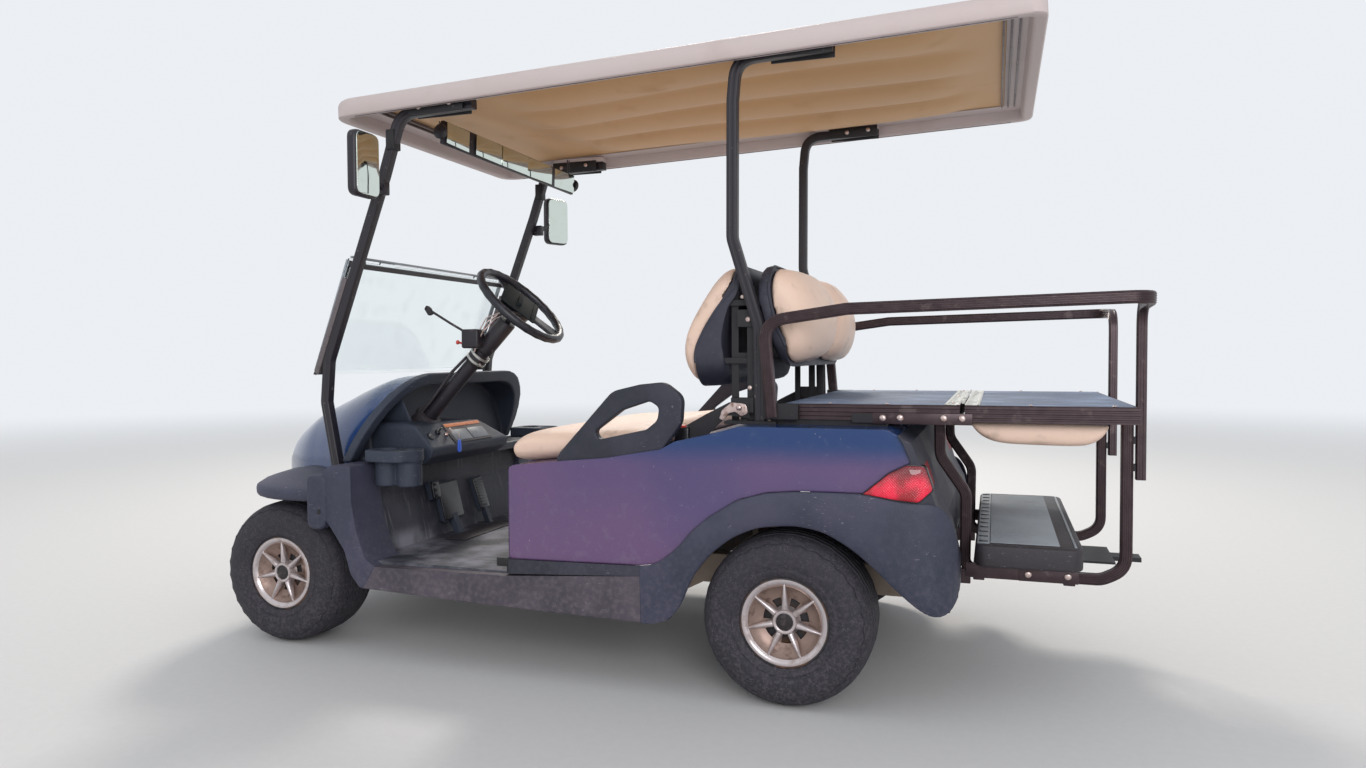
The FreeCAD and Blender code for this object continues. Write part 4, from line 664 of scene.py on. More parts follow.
def plate(points, low, high, plane="side", bevel=0, segments=3, steps=5):
    """An outline laid on a plane at low and pulled up to high, with soft edges."""
    lay = PLANES[plane]
    piece = face([lay(u, v, low) for u, v in rounded(points, steps)])
    edit(piece)
    move = lay(0, 0, high) - lay(0, 0, low)
    bpy.ops.mesh.extrude_region_move(TRANSFORM_OT_translate={"value": move})
    leave_edit()
    outwards(piece)
    return soften(piece, bevel, segments) if bevel else piece


def block(x, y, z, bevel=2, segments=2):
    """A soft-edged block between two places on each axis."""
    bpy.ops.object.select_all(action="DESELECT")
    bpy.ops.mesh.primitive_cube_add(size=1)
    piece = bpy.context.object
    low, high = spot(x[0], y[0], z[0]), spot(x[1], y[1], z[1])
    for vertex in piece.data.vertices:
        vertex.co = [low[i] if vertex.co[i] < 0 else high[i] for i in range(3)]
    return soften(piece, bevel, segments)


# %% [markdown]
# A tube is a profile carried along a path. The rings are kept from twisting by
# turning each one only as much as the path itself turns.

# %% Paths and sweeps
def bent(points, radius, steps=7):
    """Straight runs joined by arcs, in millimetres from the rear axle."""
    ends = [Vector(point) for point in points]
    path, start = [ends[0]], ends[0]
    for before, corner, after in zip(ends, ends[1:], ends[2:]):
        arrive, depart = (corner - before).normalized(), (after - corner).normalized()
        turn = arrive.angle(depart)
        reach = min((corner - start).length * 0.95, (after - corner).length * 0.48)
        leg = min(radius * math.tan(turn / 2), reach)
        enter, exit_ = corner - arrive * leg, corner + depart * leg
        for step in range(steps + 1):
            t = step / steps
            path.append(enter * (1 - t) ** 2 + corner * 2 * t * (1 - t) + exit_ * t * t)
        start = exit_
    return [spot(*point) for point in path + [ends[-1]]]


def sweep(path, profile, side=Vector((0, 1, 0)), closed=False):
    """Carries a closed profile, in millimetres, along a path in metres."""
    count = len(path)
    tangents = []
    for i in range(count):
        after = path[(i + 1) % count] if closed or i < count - 1 else path[i]
        before = path[i - 1] if closed or i else path[i]
        tangents.append((after - before).normalized())
    across = (side - tangents[0] * side.dot(tangents[0])).normalized()
    mesh = bmesh.new()
    rings = []
    for i, tangent in enumerate(tangents):
        across = (across - tangent * across.dot(tangent)).normalized()
        upward = across.cross(tangent)
        rings.append([mesh.verts.new(path[i] + (across * u + upward * v) / 1000) for u, v in profile])
    pairs = list(zip(rings, rings[1:])) + ([(rings[-1], rings[0])] if closed else [])
    for first, second in pairs:
        for k in range(len(profile)):
            j = (k + 1) % len(profile)
            mesh.faces.new((first[k], first[j], second[j], second[k]))
    if not closed:
        mesh.faces.new(rings[0])
        mesh.faces.new(list(reversed(rings[-1])))
    data = bpy.data.meshes.new("sweep")
    mesh.to_mesh(data)
    mesh.free()
    return outwards(linked("sweep", data))


def circle(radius, count=12):
    turns = [2 * math.pi * i / count for i in range(count)]
    return [(radius * math.cos(turn), radius * math.sin(turn)) for turn in turns]


def wire(points, bend, thick, count=8):
    """A round wire or tube along straight runs with soft bends."""
    return sweep(bent(points, bend), circle(thick, count))


def square(half, corner, groove=0.0):
    """A square profile with round corners and, if wished, a groove along its outer face."""
    points = [(half, -half, corner), (half, -5), (half - groove, -3.5), (half - groove, 3.5), (half, 5),
              (half, half, corner), (-half, half, corner), (-half, -half, corner)]
    return [tuple(point) for point in rounded(points, 3)]


def spun(profile, steps=48, centre=(0, 0, 0), axis=(0, 1, 0)):
    """A profile of radius and place, in millimetres, spun once round an axis through a centre."""
    along = Vector(axis)
    out = Vector((0, 0, 1)) if abs(along.z) < 0.9 else Vector((1, 0, 0))
    out = (out - along * out.dot(along)).normalized()
    middle = Vector(centre)
    points = [middle + (out * radius + along * place) / 1000 for radius, place in profile]
    piece = built("spun", points, [], [(i, i + 1) for i in range(len(points) - 1)])
    edit(piece)
    bpy.ops.mesh.spin(steps=steps, angle=2 * math.pi, center=middle, axis=along)
    leave_edit()
    return outwards(piece)


def lathe(profile, steps=32):
    """A profile spun round +Z."""
    return spun(profile, steps, axis=(0, 0, 1))


def copies(source, turns):
    """Copies of a piece at the given matrices, joined. The source itself is used up."""
    made = []
    for turn in turns:
        data = source.data.copy()
        data.transform(turn)
        made.append(linked(source.name, data))
    bpy.data.objects.remove(source)
    return join(made)


def row(source, count, pitch):
    """Copies of a piece in a row across the cart, a pitch in metres apart."""
    return copies(source, [Matrix.Translation((0, pitch * i, 0)) for i in range(count)])


def aimed(place, direction):
    """The matrix that takes a piece from the origin, made along +Z, to a place and direction."""
    return Matrix.Translation(place) @ Vector(direction).to_track_quat("Z", "Y").to_matrix().to_4x4()


def mirrored(piece):
    """A copy of a piece on the other side of the cart."""
    data = piece.data.copy()
    data.transform(Matrix.Scale(-1, 4, Vector((0, 1, 0))))
    return outwards(linked(piece.name, data))


def both(piece):
    """A piece and its mirrored twin as one."""
    return join([piece, mirrored(piece)])


def twin_blocks(x, near, far, z, bevel=2):
    """The same block on both sides of the cart, between two distances from its middle."""
    return [block(x, sorted((near * side, far * side)), z, bevel) for side in (1, -1)]


def ring_loft(rings):
    """A skin through outlines of equal length, each with its height, in millimetres."""
    points, faces = [], []
    for outline, z in rings:
        points += [Vector((p.x / 1000, p.y / 1000, z / 1000)) for p in outline]
    count = len(rings[0][0])
    for level in range(len(rings) - 1):
        for k in range(count):
            j = (k + 1) % count
            low, high = level * count, (level + 1) * count
            faces.append((low + k, low + j, high + j, high + k))
    faces.append(tuple(reversed(range(count))))
    faces.append(tuple(range((len(rings) - 1) * count, len(rings) * count)))
    return built("loft", points, faces)


print("Tools ready")

# %% [markdown]
# ## Tyres
# A tyre is a spun profile. Its tread is cut by grooves that zigzag round it, so
# every point of the tread is moved sideways by a small saw wave, and the groove
# of the shoulder is moved in and out by the same wave. One tyre is made, then
# copied to all four corners.

# %% Tyre
TREAD_HALF = [
    (228.4, 0), (228.4, 11), (221.5, 12.5), (221.5, 16.5), (228.3, 18), (228.0, 35), (221.0, 36.5),
    (221.0, 40.5), (227.4, 42), (226.4, 58), (219.5, 59.5), (219.2, 63.5), (225.4, 65), (222.5, 76),
    (218.0, 85), (213.0, 91)
]
SHOULDER = [(207.0, 96.2), (205.2, 95.0), (203.4, 98.2), (197, 101.8)]
SIDEWALL = [
    (188, 105.2), (176, 107.2), (160, 108.0), (149, 107.6), (145, 105.6), (141, 105.4), (138, 107.2),
    (131, 106.4), (126, 103), (120.5, 99), (119, 94), (112, 92), (106, 88)
]
STEPS = 120
# the heights and the reach of what the saw wave moves, and how far it moves it
TREAD_FLOOR, TREAD_REACH, TREAD_WAVE = 212, 66, 0.0026
SHOULDER_FLOOR, SHOULDER_TOP, SHOULDER_WAVE = 201, 213, 2.4
TEETH = 4


def saw(step):
    return abs((step % TEETH) / TEETH * 2 - 1) * 2 - 1


def tyre():
    half = TREAD_HALF + SHOULDER + SIDEWALL
    profile = [(radius, -place) for radius, place in reversed(half[1:])] + half
    profile += [(106, 80), (106, -80)]
    profile.append(profile[0])
    piece = spun(profile, STEPS)
    for vertex in piece.data.vertices:
        x, y, z = vertex.co * 1000
        radius = math.hypot(x, z)
        wave = saw(round(math.atan2(x, z) / (2 * math.pi) * STEPS))
        if radius > TREAD_FLOOR and abs(y) < TREAD_REACH:
            vertex.co.y += wave * TREAD_WAVE
        elif SHOULDER_FLOOR < radius < SHOULDER_TOP:
            grown = (radius + wave * SHOULDER_WAVE) / radius
            vertex.co.x *= grown
            vertex.co.z *= grown
    return piece


HUB = 0.2285
# each wheel's place, its body, its centre in metres from the frame's origin, and its side
WHEELS = [
    ("front_left", "wheel_fl", Vector((1.144, 0.438, HUB)), 1),
    ("front_right", "wheel_fr", Vector((1.144, -0.438, HUB)), -1),
    ("rear_left", "wheel_rl", Vector((REAR_AXLE, 0.489, HUB)), 1),
    ("rear_right", "wheel_rr", Vector((REAR_AXLE, -0.489, HUB)), -1),
]


def at_each_wheel(source, name, material, replaced="", angle=38):
    """Copies a piece made at the origin to the four wheels, turned so that +Y is outside."""
    for corner, body, centre, side in WHEELS:
        data = source.data.copy()
        data.transform(Matrix.Translation(centre) @ Matrix.Rotation(0 if side > 0 else math.pi, 4, "Z"))
        wheel = linked(name, data)
        stands_for = f"{replaced}_{corner}" if replaced else ""
        settle(wheel, f"{name}_{corner}", material, angle, replaced=stands_for, body=body)
    bpy.data.objects.remove(source)


at_each_wheel(tyre(), "ribbed_tyre", rubber, "tyre", 30)

# %% [markdown]
# ## Wheels and covers
# Behind each silver cover is a pressed steel rim. The cover is a shallow dish
# with seven windows, seven pointed spokes and a hub ring with a bare dark badge.

# %% Rim and cover
RIM = [
    (118.4, 95.5), (118.4, 91), (112, 89), (105, 86), (105, 60), (98, 50), (98, -50), (105, -86),
    (112, -89), (118.4, -91), (118.4, -95.5), (112, -96), (100, -88), (93, -50), (93, 40), (33, 44),
    (33, -22), (12.8, -22), (12.8, 52), (0, 52), (0, 58), (40, 58), (92, 56), (98, 80), (112, 96),
    (118.4, 95.5)
]
DISH = [
    (115, 94.5), (113, 97), (108, 97.5), (103, 95.5), (100, 92), (97.5, 90), (93, 84), (84, 76), (74, 70),
    (62, 66)
]
WINDOW = [(62, 66), (50, 65), (38, 66)]
HUB_RING = [(39, 66), (36, 70), (33.5, 80), (32, 88), (30, 91), (26.5, 91.5), (23.5, 90), (22.5, 86.5)]
BADGE = [(22.5, 86.5), (12, 88.2), (0.01, 88.6)]
SPOKE_TURN = 2 * math.pi / 7
# where a window starts and ends, as shares of the turn from one spoke to the next
WINDOW_START, WINDOW_END = 0.24, 0.76


def in_window(polygon):
    turn = math.atan2(polygon.center.x, polygon.center.z) % SPOKE_TURN
    return WINDOW_START < turn / SPOKE_TURN < WINDOW_END


def window_web():
    """The ring between hub and dish, open between the spokes."""
    return modify(without(spun(WINDOW, 84), in_window), "SOLIDIFY", thickness=0.004, offset=0)


def spoke():
    """One pointed spoke that stands on the dish."""
    bpy.ops.object.select_all(action="DESELECT")
    sizes = {"radius1": 0.0125, "radius2": 0.0035, "depth": 0.070}
    bpy.ops.mesh.primitive_cone_add(vertices=16, location=(0, 0, 0.066), **sizes)
    piece = bpy.context.object
    only(piece)
    bpy.ops.object.transform_apply(location=True)
    modify(piece, "BEVEL", width=0.005, segments=3, limit_method="ANGLE", angle_limit=0.9)
    for vertex in piece.data.vertices:
        reach = (vertex.co.z - 0.033) / 0.066
        vertex.co.x *= 0.85
        vertex.co.y = vertex.co.y * 1.3 + 0.0765 + 0.0125 * reach
    return piece


def cover():
    lip = modify(spun(DISH[:6], 84), "SOLIDIFY", thickness=0.003, offset=-1)
    ring = modify(spun(HUB_RING, 48), "SOLIDIFY", thickness=0.003, offset=-1)
    turns = [Matrix.Rotation(SPOKE_TURN * i, 4, "Y") for i in range(7)]
    return join([lip, ring, copies(spoke(), turns)])


def bowl():
    return join([modify(spun(DISH[5:], 84), "SOLIDIFY", thickness=0.003, offset=-1), window_web()])


at_each_wheel(spun(RIM, 64), "steel_rim", casting, "rim")
at_each_wheel(cover(), "wheel_cover", silver)
at_each_wheel(bowl(), "cover_bowl", bowl_silver_dark)
at_each_wheel(spun(BADGE, 36), "hub_badge", badge_black)
print("Wheels dressed")

# %% [markdown]
# ## Stuffed seats
# A seat pad here is foam under tight vinyl. Its form is lofted across the cart:
# every section runs from the seam out over the bulge and back, and gets
# shallower towards the ends, so the sides pull in. Air pressure in a short
# cloth simulation then rounds it as the foam does, with a cap on how far the
# vinyl may move. The rear pad has a valley between two humps.

# %% Pad forms
def spread(points, count):
    """The same line through as many evenly spaced points as asked for."""
    ends = [Vector(point[:2]) for point in points]
    lengths = [0.0]
    for before, after in zip(ends, ends[1:]):
        lengths.append(lengths[-1] + (after - before).length)
    line = []
    for i in range(count):
        target = lengths[-1] * i / (count - 1)
        k = max(j for j in range(len(lengths)) if lengths[j] <= target + 1e-9)
        k = min(k, len(ends) - 2)
        share = (target - lengths[k]) / (lengths[k + 1] - lengths[k])
        line.append(ends[k].lerp(ends[k + 1], share))
    return line


def smooth_line(points, count=25, rounds=3):
    line = spread(points, count)
    for _ in range(rounds):
        line = [line[0]] + [(a + b * 2 + c) / 4 for a, b, c in zip(line, line[1:], line[2:])] + [line[-1]]
    return line


def corner_drop(y, half, corner):
    """How far a pad's edge has come down at a place across the cart, in its round corner."""
    past = max(0.0, abs(y) - (half - corner)) / corner
    return corner * (1 - math.sqrt(max(0.0, 1 - past * past))) * 0.8


def pad_form(bulge, seam, half, ends, corner, valley, stations=49, power=3.0):
    """A pad from its bulge and its seam in side view, across both halves of the cart."""
    outer, inner = smooth_line(bulge), smooth_line(seam)
    count = len(outer)
    low, high = min(p.y for p in outer + inner), max(p.y for p in outer + inner)
    middle = (low + high) / 2
    points, rings = [], []
    for i in range(stations):
        t = math.sin((i / (stations - 1) - 0.5) * math.pi)
        y = half * t
        depth = ends + (1 - ends) * (1 - abs(t) ** power) ** (1 / power)
        tall = 1 - corner_drop(y, half, corner) / ((high - low) / 2)
        ring = []
        for k in range(count):
            lower = 1 - (outer[k].y - low) / (high - low)
            dip = min(0.85, valley * math.exp(-(y / 66) ** 2) * (0.34 + 0.95 * lower))
            here = inner[k] + (outer[k] - inner[k]) * depth * (1 - dip)
            lift = valley * 60 * math.exp(-(y / 60) ** 2) * lower ** 3
            ring.append((here.x, y, middle + (here.y - middle) * tall + lift))
        for k in reversed(range(1, count - 1)):
            ring.append((inner[k].x, y, middle + (inner[k].y - middle) * tall))
        rings.append([len(points) + j for j in range(len(ring))])
        points += [spot(*point) for point in ring]
    faces = []
    for first, second in zip(rings, rings[1:]):
        for j in range(len(first)):
            k = (j + 1) % len(first)
            faces.append((first[j], first[k], second[k], second[j]))
    faces += [tuple(rings[0]), tuple(reversed(rings[-1]))]
    return outwards(built("pad", points, faces))


# %% Blow up a pad
PAD_VOXEL, PUFF_FRAMES = 0.008, 14


def stuffed(piece, cap):
    """Remeshes a pad evenly and blows it up a little with a cloth simulation."""
    modify(piece, "REMESH", mode="VOXEL", voxel_size=PAD_VOXEL)
    modify(piece, "SMOOTH", factor=0.5, iterations=4)
    start = [vertex.co.copy() for vertex in piece.data.vertices]
    cloth = piece.modifiers.new("foam", "CLOTH")
    cloth.settings.use_pressure = True
    cloth.settings.uniform_pressure_force = 4
    cloth.settings.quality = 4
    cloth.settings.effector_weights.gravity = 0
    cloth.settings.tension_stiffness = 25
    cloth.settings.bending_stiffness = 2
    cloth.point_cache.frame_end = PUFF_FRAMES + 1
    scene = bpy.context.scene
    for number in range(1, PUFF_FRAMES + 1):
        scene.frame_set(number)
    puffed = piece.evaluated_get(bpy.context.evaluated_depsgraph_get())
    moved = [vertex.co.copy() for vertex in puffed.data.vertices]
    piece.modifiers.remove(cloth)
    scene.frame_set(1)
    for vertex, before, after in zip(piece.data.vertices, start, moved):
        step = after - before
        if step.length > cap:
            step *= cap / step.length
        vertex.co = before + step
    return modify(piece, "SMOOTH", factor=0.5, iterations=2)


def pad(name, form, body, replaced, cap=0.006):
    piece = stuffed(form, cap)
    settle(piece, name, vinyl, 60, replaced=replaced, body=body)
    print(name, "faces:", len(piece.data.polygons))


# %% The four pads
FRONT_SEAM = [(170, 1172), (190, 1137), (219, 1083), (252, 1001), (276, 926), (285, 866), (281, 838)]
FRONT_BULGE = [
    (170, 1174), (186, 1182), (208, 1173), (238, 1148), (272, 1101), (306, 1046), (334, 991), (343, 935),
    (338, 894), (318, 860), (281, 838)
]
REAR_SEAM = [(71, 1168), (70, 1118), (59, 1041), (45, 963), (24, 896)]
REAR_BULGE = [
    (71, 1170), (52, 1180), (16, 1168), (-22, 1130), (-48, 1092), (-62, 1048), (-62, 1000), (-50, 950),
    (-24, 912), (24, 896)
]
SEAT_UNDER = [(398, 668), (416, 660), (500, 646), (641, 633), (787, 617), (836, 617)]
SEAT_OVER = [
    (398, 672), (394, 716), (430, 722), (560, 707), (700, 702), (790, 700), (836, 692), (854, 670),
    (850, 636), (836, 618)
]
UNDER_DECK_TOP = [(-450, 749), (-788, 749)]
UNDER_DECK = [
    (-450, 748), (-466, 722), (-490, 702), (-530, 692), (-640, 689), (-740, 689), (-770, 704), (-784, 728),
    (-788, 748)
]

pad("front_backrest", pad_form(FRONT_BULGE, FRONT_SEAM, 440, 0.30, 90, 0.10), "chassis", "backrest_cushions")
pad("rear_backrest", pad_form(REAR_BULGE, REAR_SEAM, 440, 0.30, 90, 0.95), "chassis", "backrest_cushions")
pad("seat_pad", pad_form(SEAT_OVER, SEAT_UNDER, 506, 0.62, 40, 0.10, power=5), "seat", "seat_bottom", 0.004)
pad(
    "deck_pad", pad_form(UNDER_DECK, UNDER_DECK_TOP, 446, 0.55, 20, 0.12, power=5), "folding_deck",
    "deck_cushion", 0.004
)

# %% [markdown]
# ## Backrest shells
# Behind each pad is a dark moulded shell. It has the same rounded corners as the
# pad, so it is lofted in the same way.

# %% Shells
FRONT_SHELL_BACK = [
    (166, 1176), (150, 1181), (146, 1160), (150, 1149), (173, 1118), (185, 1075), (198, 997), (202, 926),
    (190, 874), (184, 846), (210, 836), (281, 834)
]
REAR_SHELL_BACK = [
    (71, 1172), (84, 1182), (102, 1174), (105, 1150), (105, 1108), (93, 1049), (82, 972), (62, 920),
    (46, 892), (24, 890)
]


def back_shell(name, back, seam):
    piece = pad_form(back, seam, 446, 0.72, 92, 0.0, stations=41, power=6)
    settle(piece, name, seat_plastic, 50, replaced="backrest_shells")


back_shell("front_back_shell", FRONT_SHELL_BACK, FRONT_SEAM)
back_shell("rear_back_shell", REAR_SHELL_BACK, REAR_SEAM)

# %% [markdown]
# A rubber welt covers the line where the vinyl meets each shell. It is a thin
# cord carried round the edge of the pad.

# %% Welts
def welt(name, seam, half, corner=88):
    """A thin rubber edge that runs up one side, over the top, and down the other."""
    line = smooth_line(seam)
    top, bottom = line[0], line[-1]
    mid = (top.y + bottom.y) / 2
    path = []
    for y in [half * math.sin(a * math.pi / 40) for a in range(-20, 21)]:
        fall = 1 - corner_drop(y, half, corner) / (top.y - mid)
        path.append(spot(top.x + 1, y, mid + (top.y + 4 - mid) * fall))
    right = [spot(p.x + 1, half + 2, mid + (p.y - mid) * 0.62) for p in line]
    left = [spot(p.x + 1, -half - 2, mid + (p.y - mid) * 0.62) for p in line]
    piece = sweep(list(reversed(left)) + path[2:-2] + right, circle(4.5, 8), Vector((1, 0, 0)))
    settle(piece, name, seat_plastic, 60)


welt("front_welt", FRONT_SEAM, 441)
welt("rear_welt", REAR_SEAM, 441)

# %% [markdown]
# ## Struts and grooved tubes
# The struts are square steel tubes with round corners.

# %% Struts
STRUT = square(15, 5, 1.2)


def strut(name, points, replaced):
    """One strut and its twin, from its path on the left side."""
    pair = both(sweep(bent(points, 70), STRUT))
    settle(pair, name, strut_steel, 30, replaced=replaced)


FRONT_POST = [
    (960, 484, 1677), (1218, 484, 1668), (1279, 484, 1487), (1500, 484, 915), (1512, 484, 780),
    (1470, 484, 560), (1470, 484, 500)
]
REAR_POST = [
    (-110, 484, 1730), (150, 484, 1720), (160, 484, 1610), (162, 484, 1240), (94, 462, 1000), (90, 462, 744)
]
strut("front_posts", FRONT_POST, "front_struts")
strut("rear_posts", REAR_POST, "rear_struts")

# %% Kit tubes and handrails
def grooved(half_side, half_plane, flutes, depth=1.3):
    """A flat-sided profile with round corners and grooves along both sides."""
    pitch = 2 * (half_plane - 4) / flutes
    side = []
    for i in range(flutes):
        low = -half_plane + 4 + pitch * i
        side += [(half_side, low + pitch * 0.12), (half_side - depth, low + pitch * 0.3),
                 (half_side - depth, low + pitch * 0.7), (half_side, low + pitch * 0.88)]
    up = [
        (half_side - 3, half_plane), (4, half_plane), (3, half_plane - 1), (-3, half_plane - 1),
        (-4, half_plane), (3 - half_side, half_plane)
    ]
    return side + up + [(-u, -v) for u, v in side] + [(-u, -v) for u, v in up]


RAIL = grooved(12, 15.5, 4)
RAIL_PATH = [
    (50, 500, 756), (72, 500, 1012), (-150, 500, 1042), (-870, 500, 1057), (-870, 300, 1047),
    (-870, 300, 598)
]
rails = both(sweep(bent(RAIL_PATH, 60), RAIL))
settle(rails, "grooved_handrails", bronze, 28, replaced="handrails")

KIT_PATH = [
    (-372, 300, 751), (-374, 300, 645), (-443, 300, 545), (-440, 300, 347), (-480, 300, 333),
    (-780, 300, 333), (-838, 300, 363), (-838, 300, 750.5)
]
kit_tube = sweep(bent(KIT_PATH, 60), grooved(12, 14.5, 4))
kit = [kit_tube, mirrored(kit_tube)]
for x in (-492, -708):
    kit.append(block((x, x + 28), (-430, 430), (340, 380)))
kit += twin_blocks((-706, -445), 424, 431, (346, 384), 1.5)
kit += twin_blocks((-455, -331), 291, 312, (300, 340))
kit = join(kit)
settle(kit, "kit_tubes", bronze, 28, replaced="kit_frame")

# %% [markdown]
# ## The rear deck
# Each half of the deck is a faded rubber mat in a frame of grooved rails. A long
# hinge with slotted leaves joins them, and the deck pad rides on the half that folds.

# %% Deck halves
DECK_LOW, DECK_TOP, DECK_HALF = 751, 793, 480
EDGE = [
    (6, -21), (6, -17), (4.4, -15), (4.4, -12), (6, -10), (6, -6), (4.4, -4), (4.4, -1), (6, 1), (6, 5),
    (4.4, 7), (4.4, 10), (6, 12), (6, 18), (3, 21), (-3, 21), (-6, 18), (-6, -21)
]


def deck_half(name, front, rear, body, replaced):
    middle = (DECK_LOW + DECK_TOP) / 2
    rails = []
    for y in (DECK_HALF - 6, 6 - DECK_HALF):
        profile = EDGE if y > 0 else [(-u, v) for u, v in EDGE]
        rails.append(sweep([spot(front, y, middle), spot(rear, y, middle)], profile))
    for x in (front - 5, rear + 5):
        rails.append(block((x - 5, x + 5), (-DECK_HALF + 4, DECK_HALF - 4), (DECK_LOW, DECK_TOP - 1), 1.5))
    for y in (-150, 150):
        rails.append(block((rear + 10, front - 10), (y - 14, y + 14), (DECK_LOW + 2, DECK_TOP - 12), 1.5))
    frame_piece = join(rails)
    settle(frame_piece, name + "_rails", bronze, 28, replaced=replaced, body=body)
    near, far, half = front - 7, rear + 7, DECK_HALF - 10
    outline = [(near, half, 12), (near, -half, 12), (far, -half, 12), (far, half, 12)]
    mat = plate(outline, DECK_TOP - 14, DECK_TOP + 0.5, "top", 2)
    settle(mat, name + "_mat", deck_mat, 28, replaced=replaced, body=body)


deck_half("front_deck", 28, -431, "chassis", "deck_fixed")
deck_half("rear_deck", -443, -845, "folding_deck", "deck_folding")

# %% Deck hinge
def hinge_leaf(near, far):
    """A leaf with slots: two long strips joined by many short rungs."""
    wide = (far - near) * 0.22
    strips = []
    for x in ((near, near + wide), (far - wide, far)):
        strips.append(outwards(block(x, (-474, 474), (793.2, 795.2), 0.4)))
    rung = block((near + 1, far - 1), (-474, -464), (793.2, 794.9), 0.4)
    return join(strips + [row(outwards(rung), 36, 0.0268)])


def knuckles(starts):
    """The rolled ends of a leaf, from where each of them starts across the cart."""
    rolled = spun([(0.01, 0), (4.6, 0), (4.6, 96), (0.01, 96)], 16)
    return copies(rolled, [Matrix.Translation(spot(-437, start, 797)) for start in starts])


fixed_leaf = join([hinge_leaf(-431, -394), knuckles((-400, 0, 300))])
settle(fixed_leaf, "hinge_leaf_front", zinc)
fold_leaf = join([hinge_leaf(-480, -443), knuckles((-300, -100, 100))])
settle(fold_leaf, "hinge_leaf_rear", zinc, body="folding_deck")

# %% [markdown]
# ## The footrest
# A moulded black tray with a ribbed mat. The ribs run fore and aft, and across its
# front edge a strip carries a row of short, slightly raised black blocks that stand
# for its slots: painted shade.

# %% Footrest
TRAY = [(-727, 460, 44), (-727, -460, 44), (-469, -460, 34), (-469, 460, 34)]
step_tray = plate(TRAY, 380, 437, "top", 7, 4)
settle(step_tray, "step_tray", step_plastic, 40, replaced="footrest")
ribs = row(block((-672, -506), (-424, -418), (436, 439.2), 0.8), 81, 0.0105)
front_strip = block((-504, -474), (-436, 436), (436, 438.4), 0.8)
rim_bar = block((-712, -706), (-430, 430), (436.4, 438.6), 0.8)
settle(join([ribs, front_strip, rim_bar]), "step_ribs", rib_plastic)
# painted shade: black blocks stand for the slots of the front strip
slot_shade_bars = row(block((-500, -478), (-420, -404), (437.6, 441), 1), 13, 0.0686)
settle(slot_shade_bars, "step_slot_shade", black_gloss)
kit_plates = twin_blocks((-462, -214), 480, 485.5, (743, 772), 1)
kit_plates += twin_blocks((-715, -575), 430, 434, (346, 382), 1)
settle(join(kit_plates), "kit_plates", bronze)
settle(join(twin_blocks((-250, 60), 440, 476, (735, 750))), "deck_rests", strap)

# %% [markdown]
# ## The roof
# The roof is one moulded tray. Its rim has a soft top edge and a turned-in lip.
# The underside is not flat: long ribs run fore and aft, which stiffen the sheet.

# %% Roof rim and top
# x and height of the lip at both ends
ROOF_FRONT, ROOF_REAR = (1436, 1660), (-634, 1733)
ROOF_HALF, ROOF_LENGTH = 545, ROOF_FRONT[0] - ROOF_REAR[0]
ROOF_LEAN = math.atan2(ROOF_REAR[1] - ROOF_FRONT[1], ROOF_LENGTH)
ROOF_MIDDLE = [(front + rear) / 2 for front, rear in zip(ROOF_FRONT, ROOF_REAR)]
FRONT_CORNER, REAR_CORNER, LEAST_CORNER = 78, 52, 6


def on_roof(piece):
    """Leans a piece made flat, with its lip at zero height, and lifts it to the roof's place."""
    middle = spot(ROOF_MIDDLE[0], 0, ROOF_MIDDLE[1])
    piece.data.transform(Matrix.Translation(middle) @ Matrix.Rotation(ROOF_LEAN, 4, "Y"))
    return piece


def roof_outline(inset=0):
    x, y = ROOF_LENGTH / 2 - inset, ROOF_HALF - inset
    front, rear = max(FRONT_CORNER - inset, LEAST_CORNER), max(REAR_CORNER - inset, LEAST_CORNER)
    corners = [(x, y, front), (-x, y, rear), (-x, -y, rear), (x, -y, front)]
    return rounded(corners, 8)


ROOF_RINGS = [
    (92, 40), (60, 36), (40, 34), (34, 12), (30, 3), (24, 0), (4, 0), (0, 4), (0, 34), (2, 44), (7, 52),
    (15, 58), (26, 61), (44, 62), (120, 62)
]
# the loft's lower cap is below this height, in metres, and its upper cap above it
BETWEEN_CAPS = 0.05


def lower_cap(polygon):
    return len(polygon.vertices) > 4 and polygon.center.z < BETWEEN_CAPS


shell = ring_loft([(roof_outline(inset), z) for inset, z in ROOF_RINGS])
on_roof(without(shell, lower_cap))

# %% Ribbed underside
RIB_PITCH, RIB_HALF, RIB_DEPTH, SHEET_HEIGHT = 222, 104, 27, 42


def lobe(x, y):
    """How far the underside hangs down at a place: four long ribs with round ends."""
    hang = 0.0
    for number in range(4):
        middle = (number - 1.5) * RIB_PITCH + 26 * math.sin(x / 260 + number)
        start, end = -880 + 50 * (number % 2), 640 - 60 * abs(number - 1.5)
        inside = min(1.0, max(0.0, (x - start) / 150)) * min(1.0, max(0.0, (end - x) / 170))
        across = max(0.0, 1 - ((y - middle) / RIB_HALF) ** 2)
        hang = max(hang, math.sin(inside * math.pi / 2) * across ** 0.8)
    return hang


bpy.ops.object.select_all(action="DESELECT")
bpy.ops.mesh.primitive_grid_add(x_subdivisions=130, y_subdivisions=90, size=1)
liner = bpy.context.object
for vertex in liner.data.vertices:
    x, y = vertex.co.x * (ROOF_LENGTH - 100), vertex.co.y * (ROOF_HALF * 2 - 100)
    vertex.co = Vector((x, y, SHEET_HEIGHT - RIB_DEPTH * lobe(x, y))) / 1000
modify(liner, "SMOOTH", factor=0.5, iterations=6)
edit(on_roof(liner))
bpy.ops.mesh.flip_normals()
leave_edit()


def from_origin(near, far):
    """Two places on X, as a block takes them, for a piece that is made round the origin."""
    return [place - REAR_AXLE * 1000 for place in (near, far)]


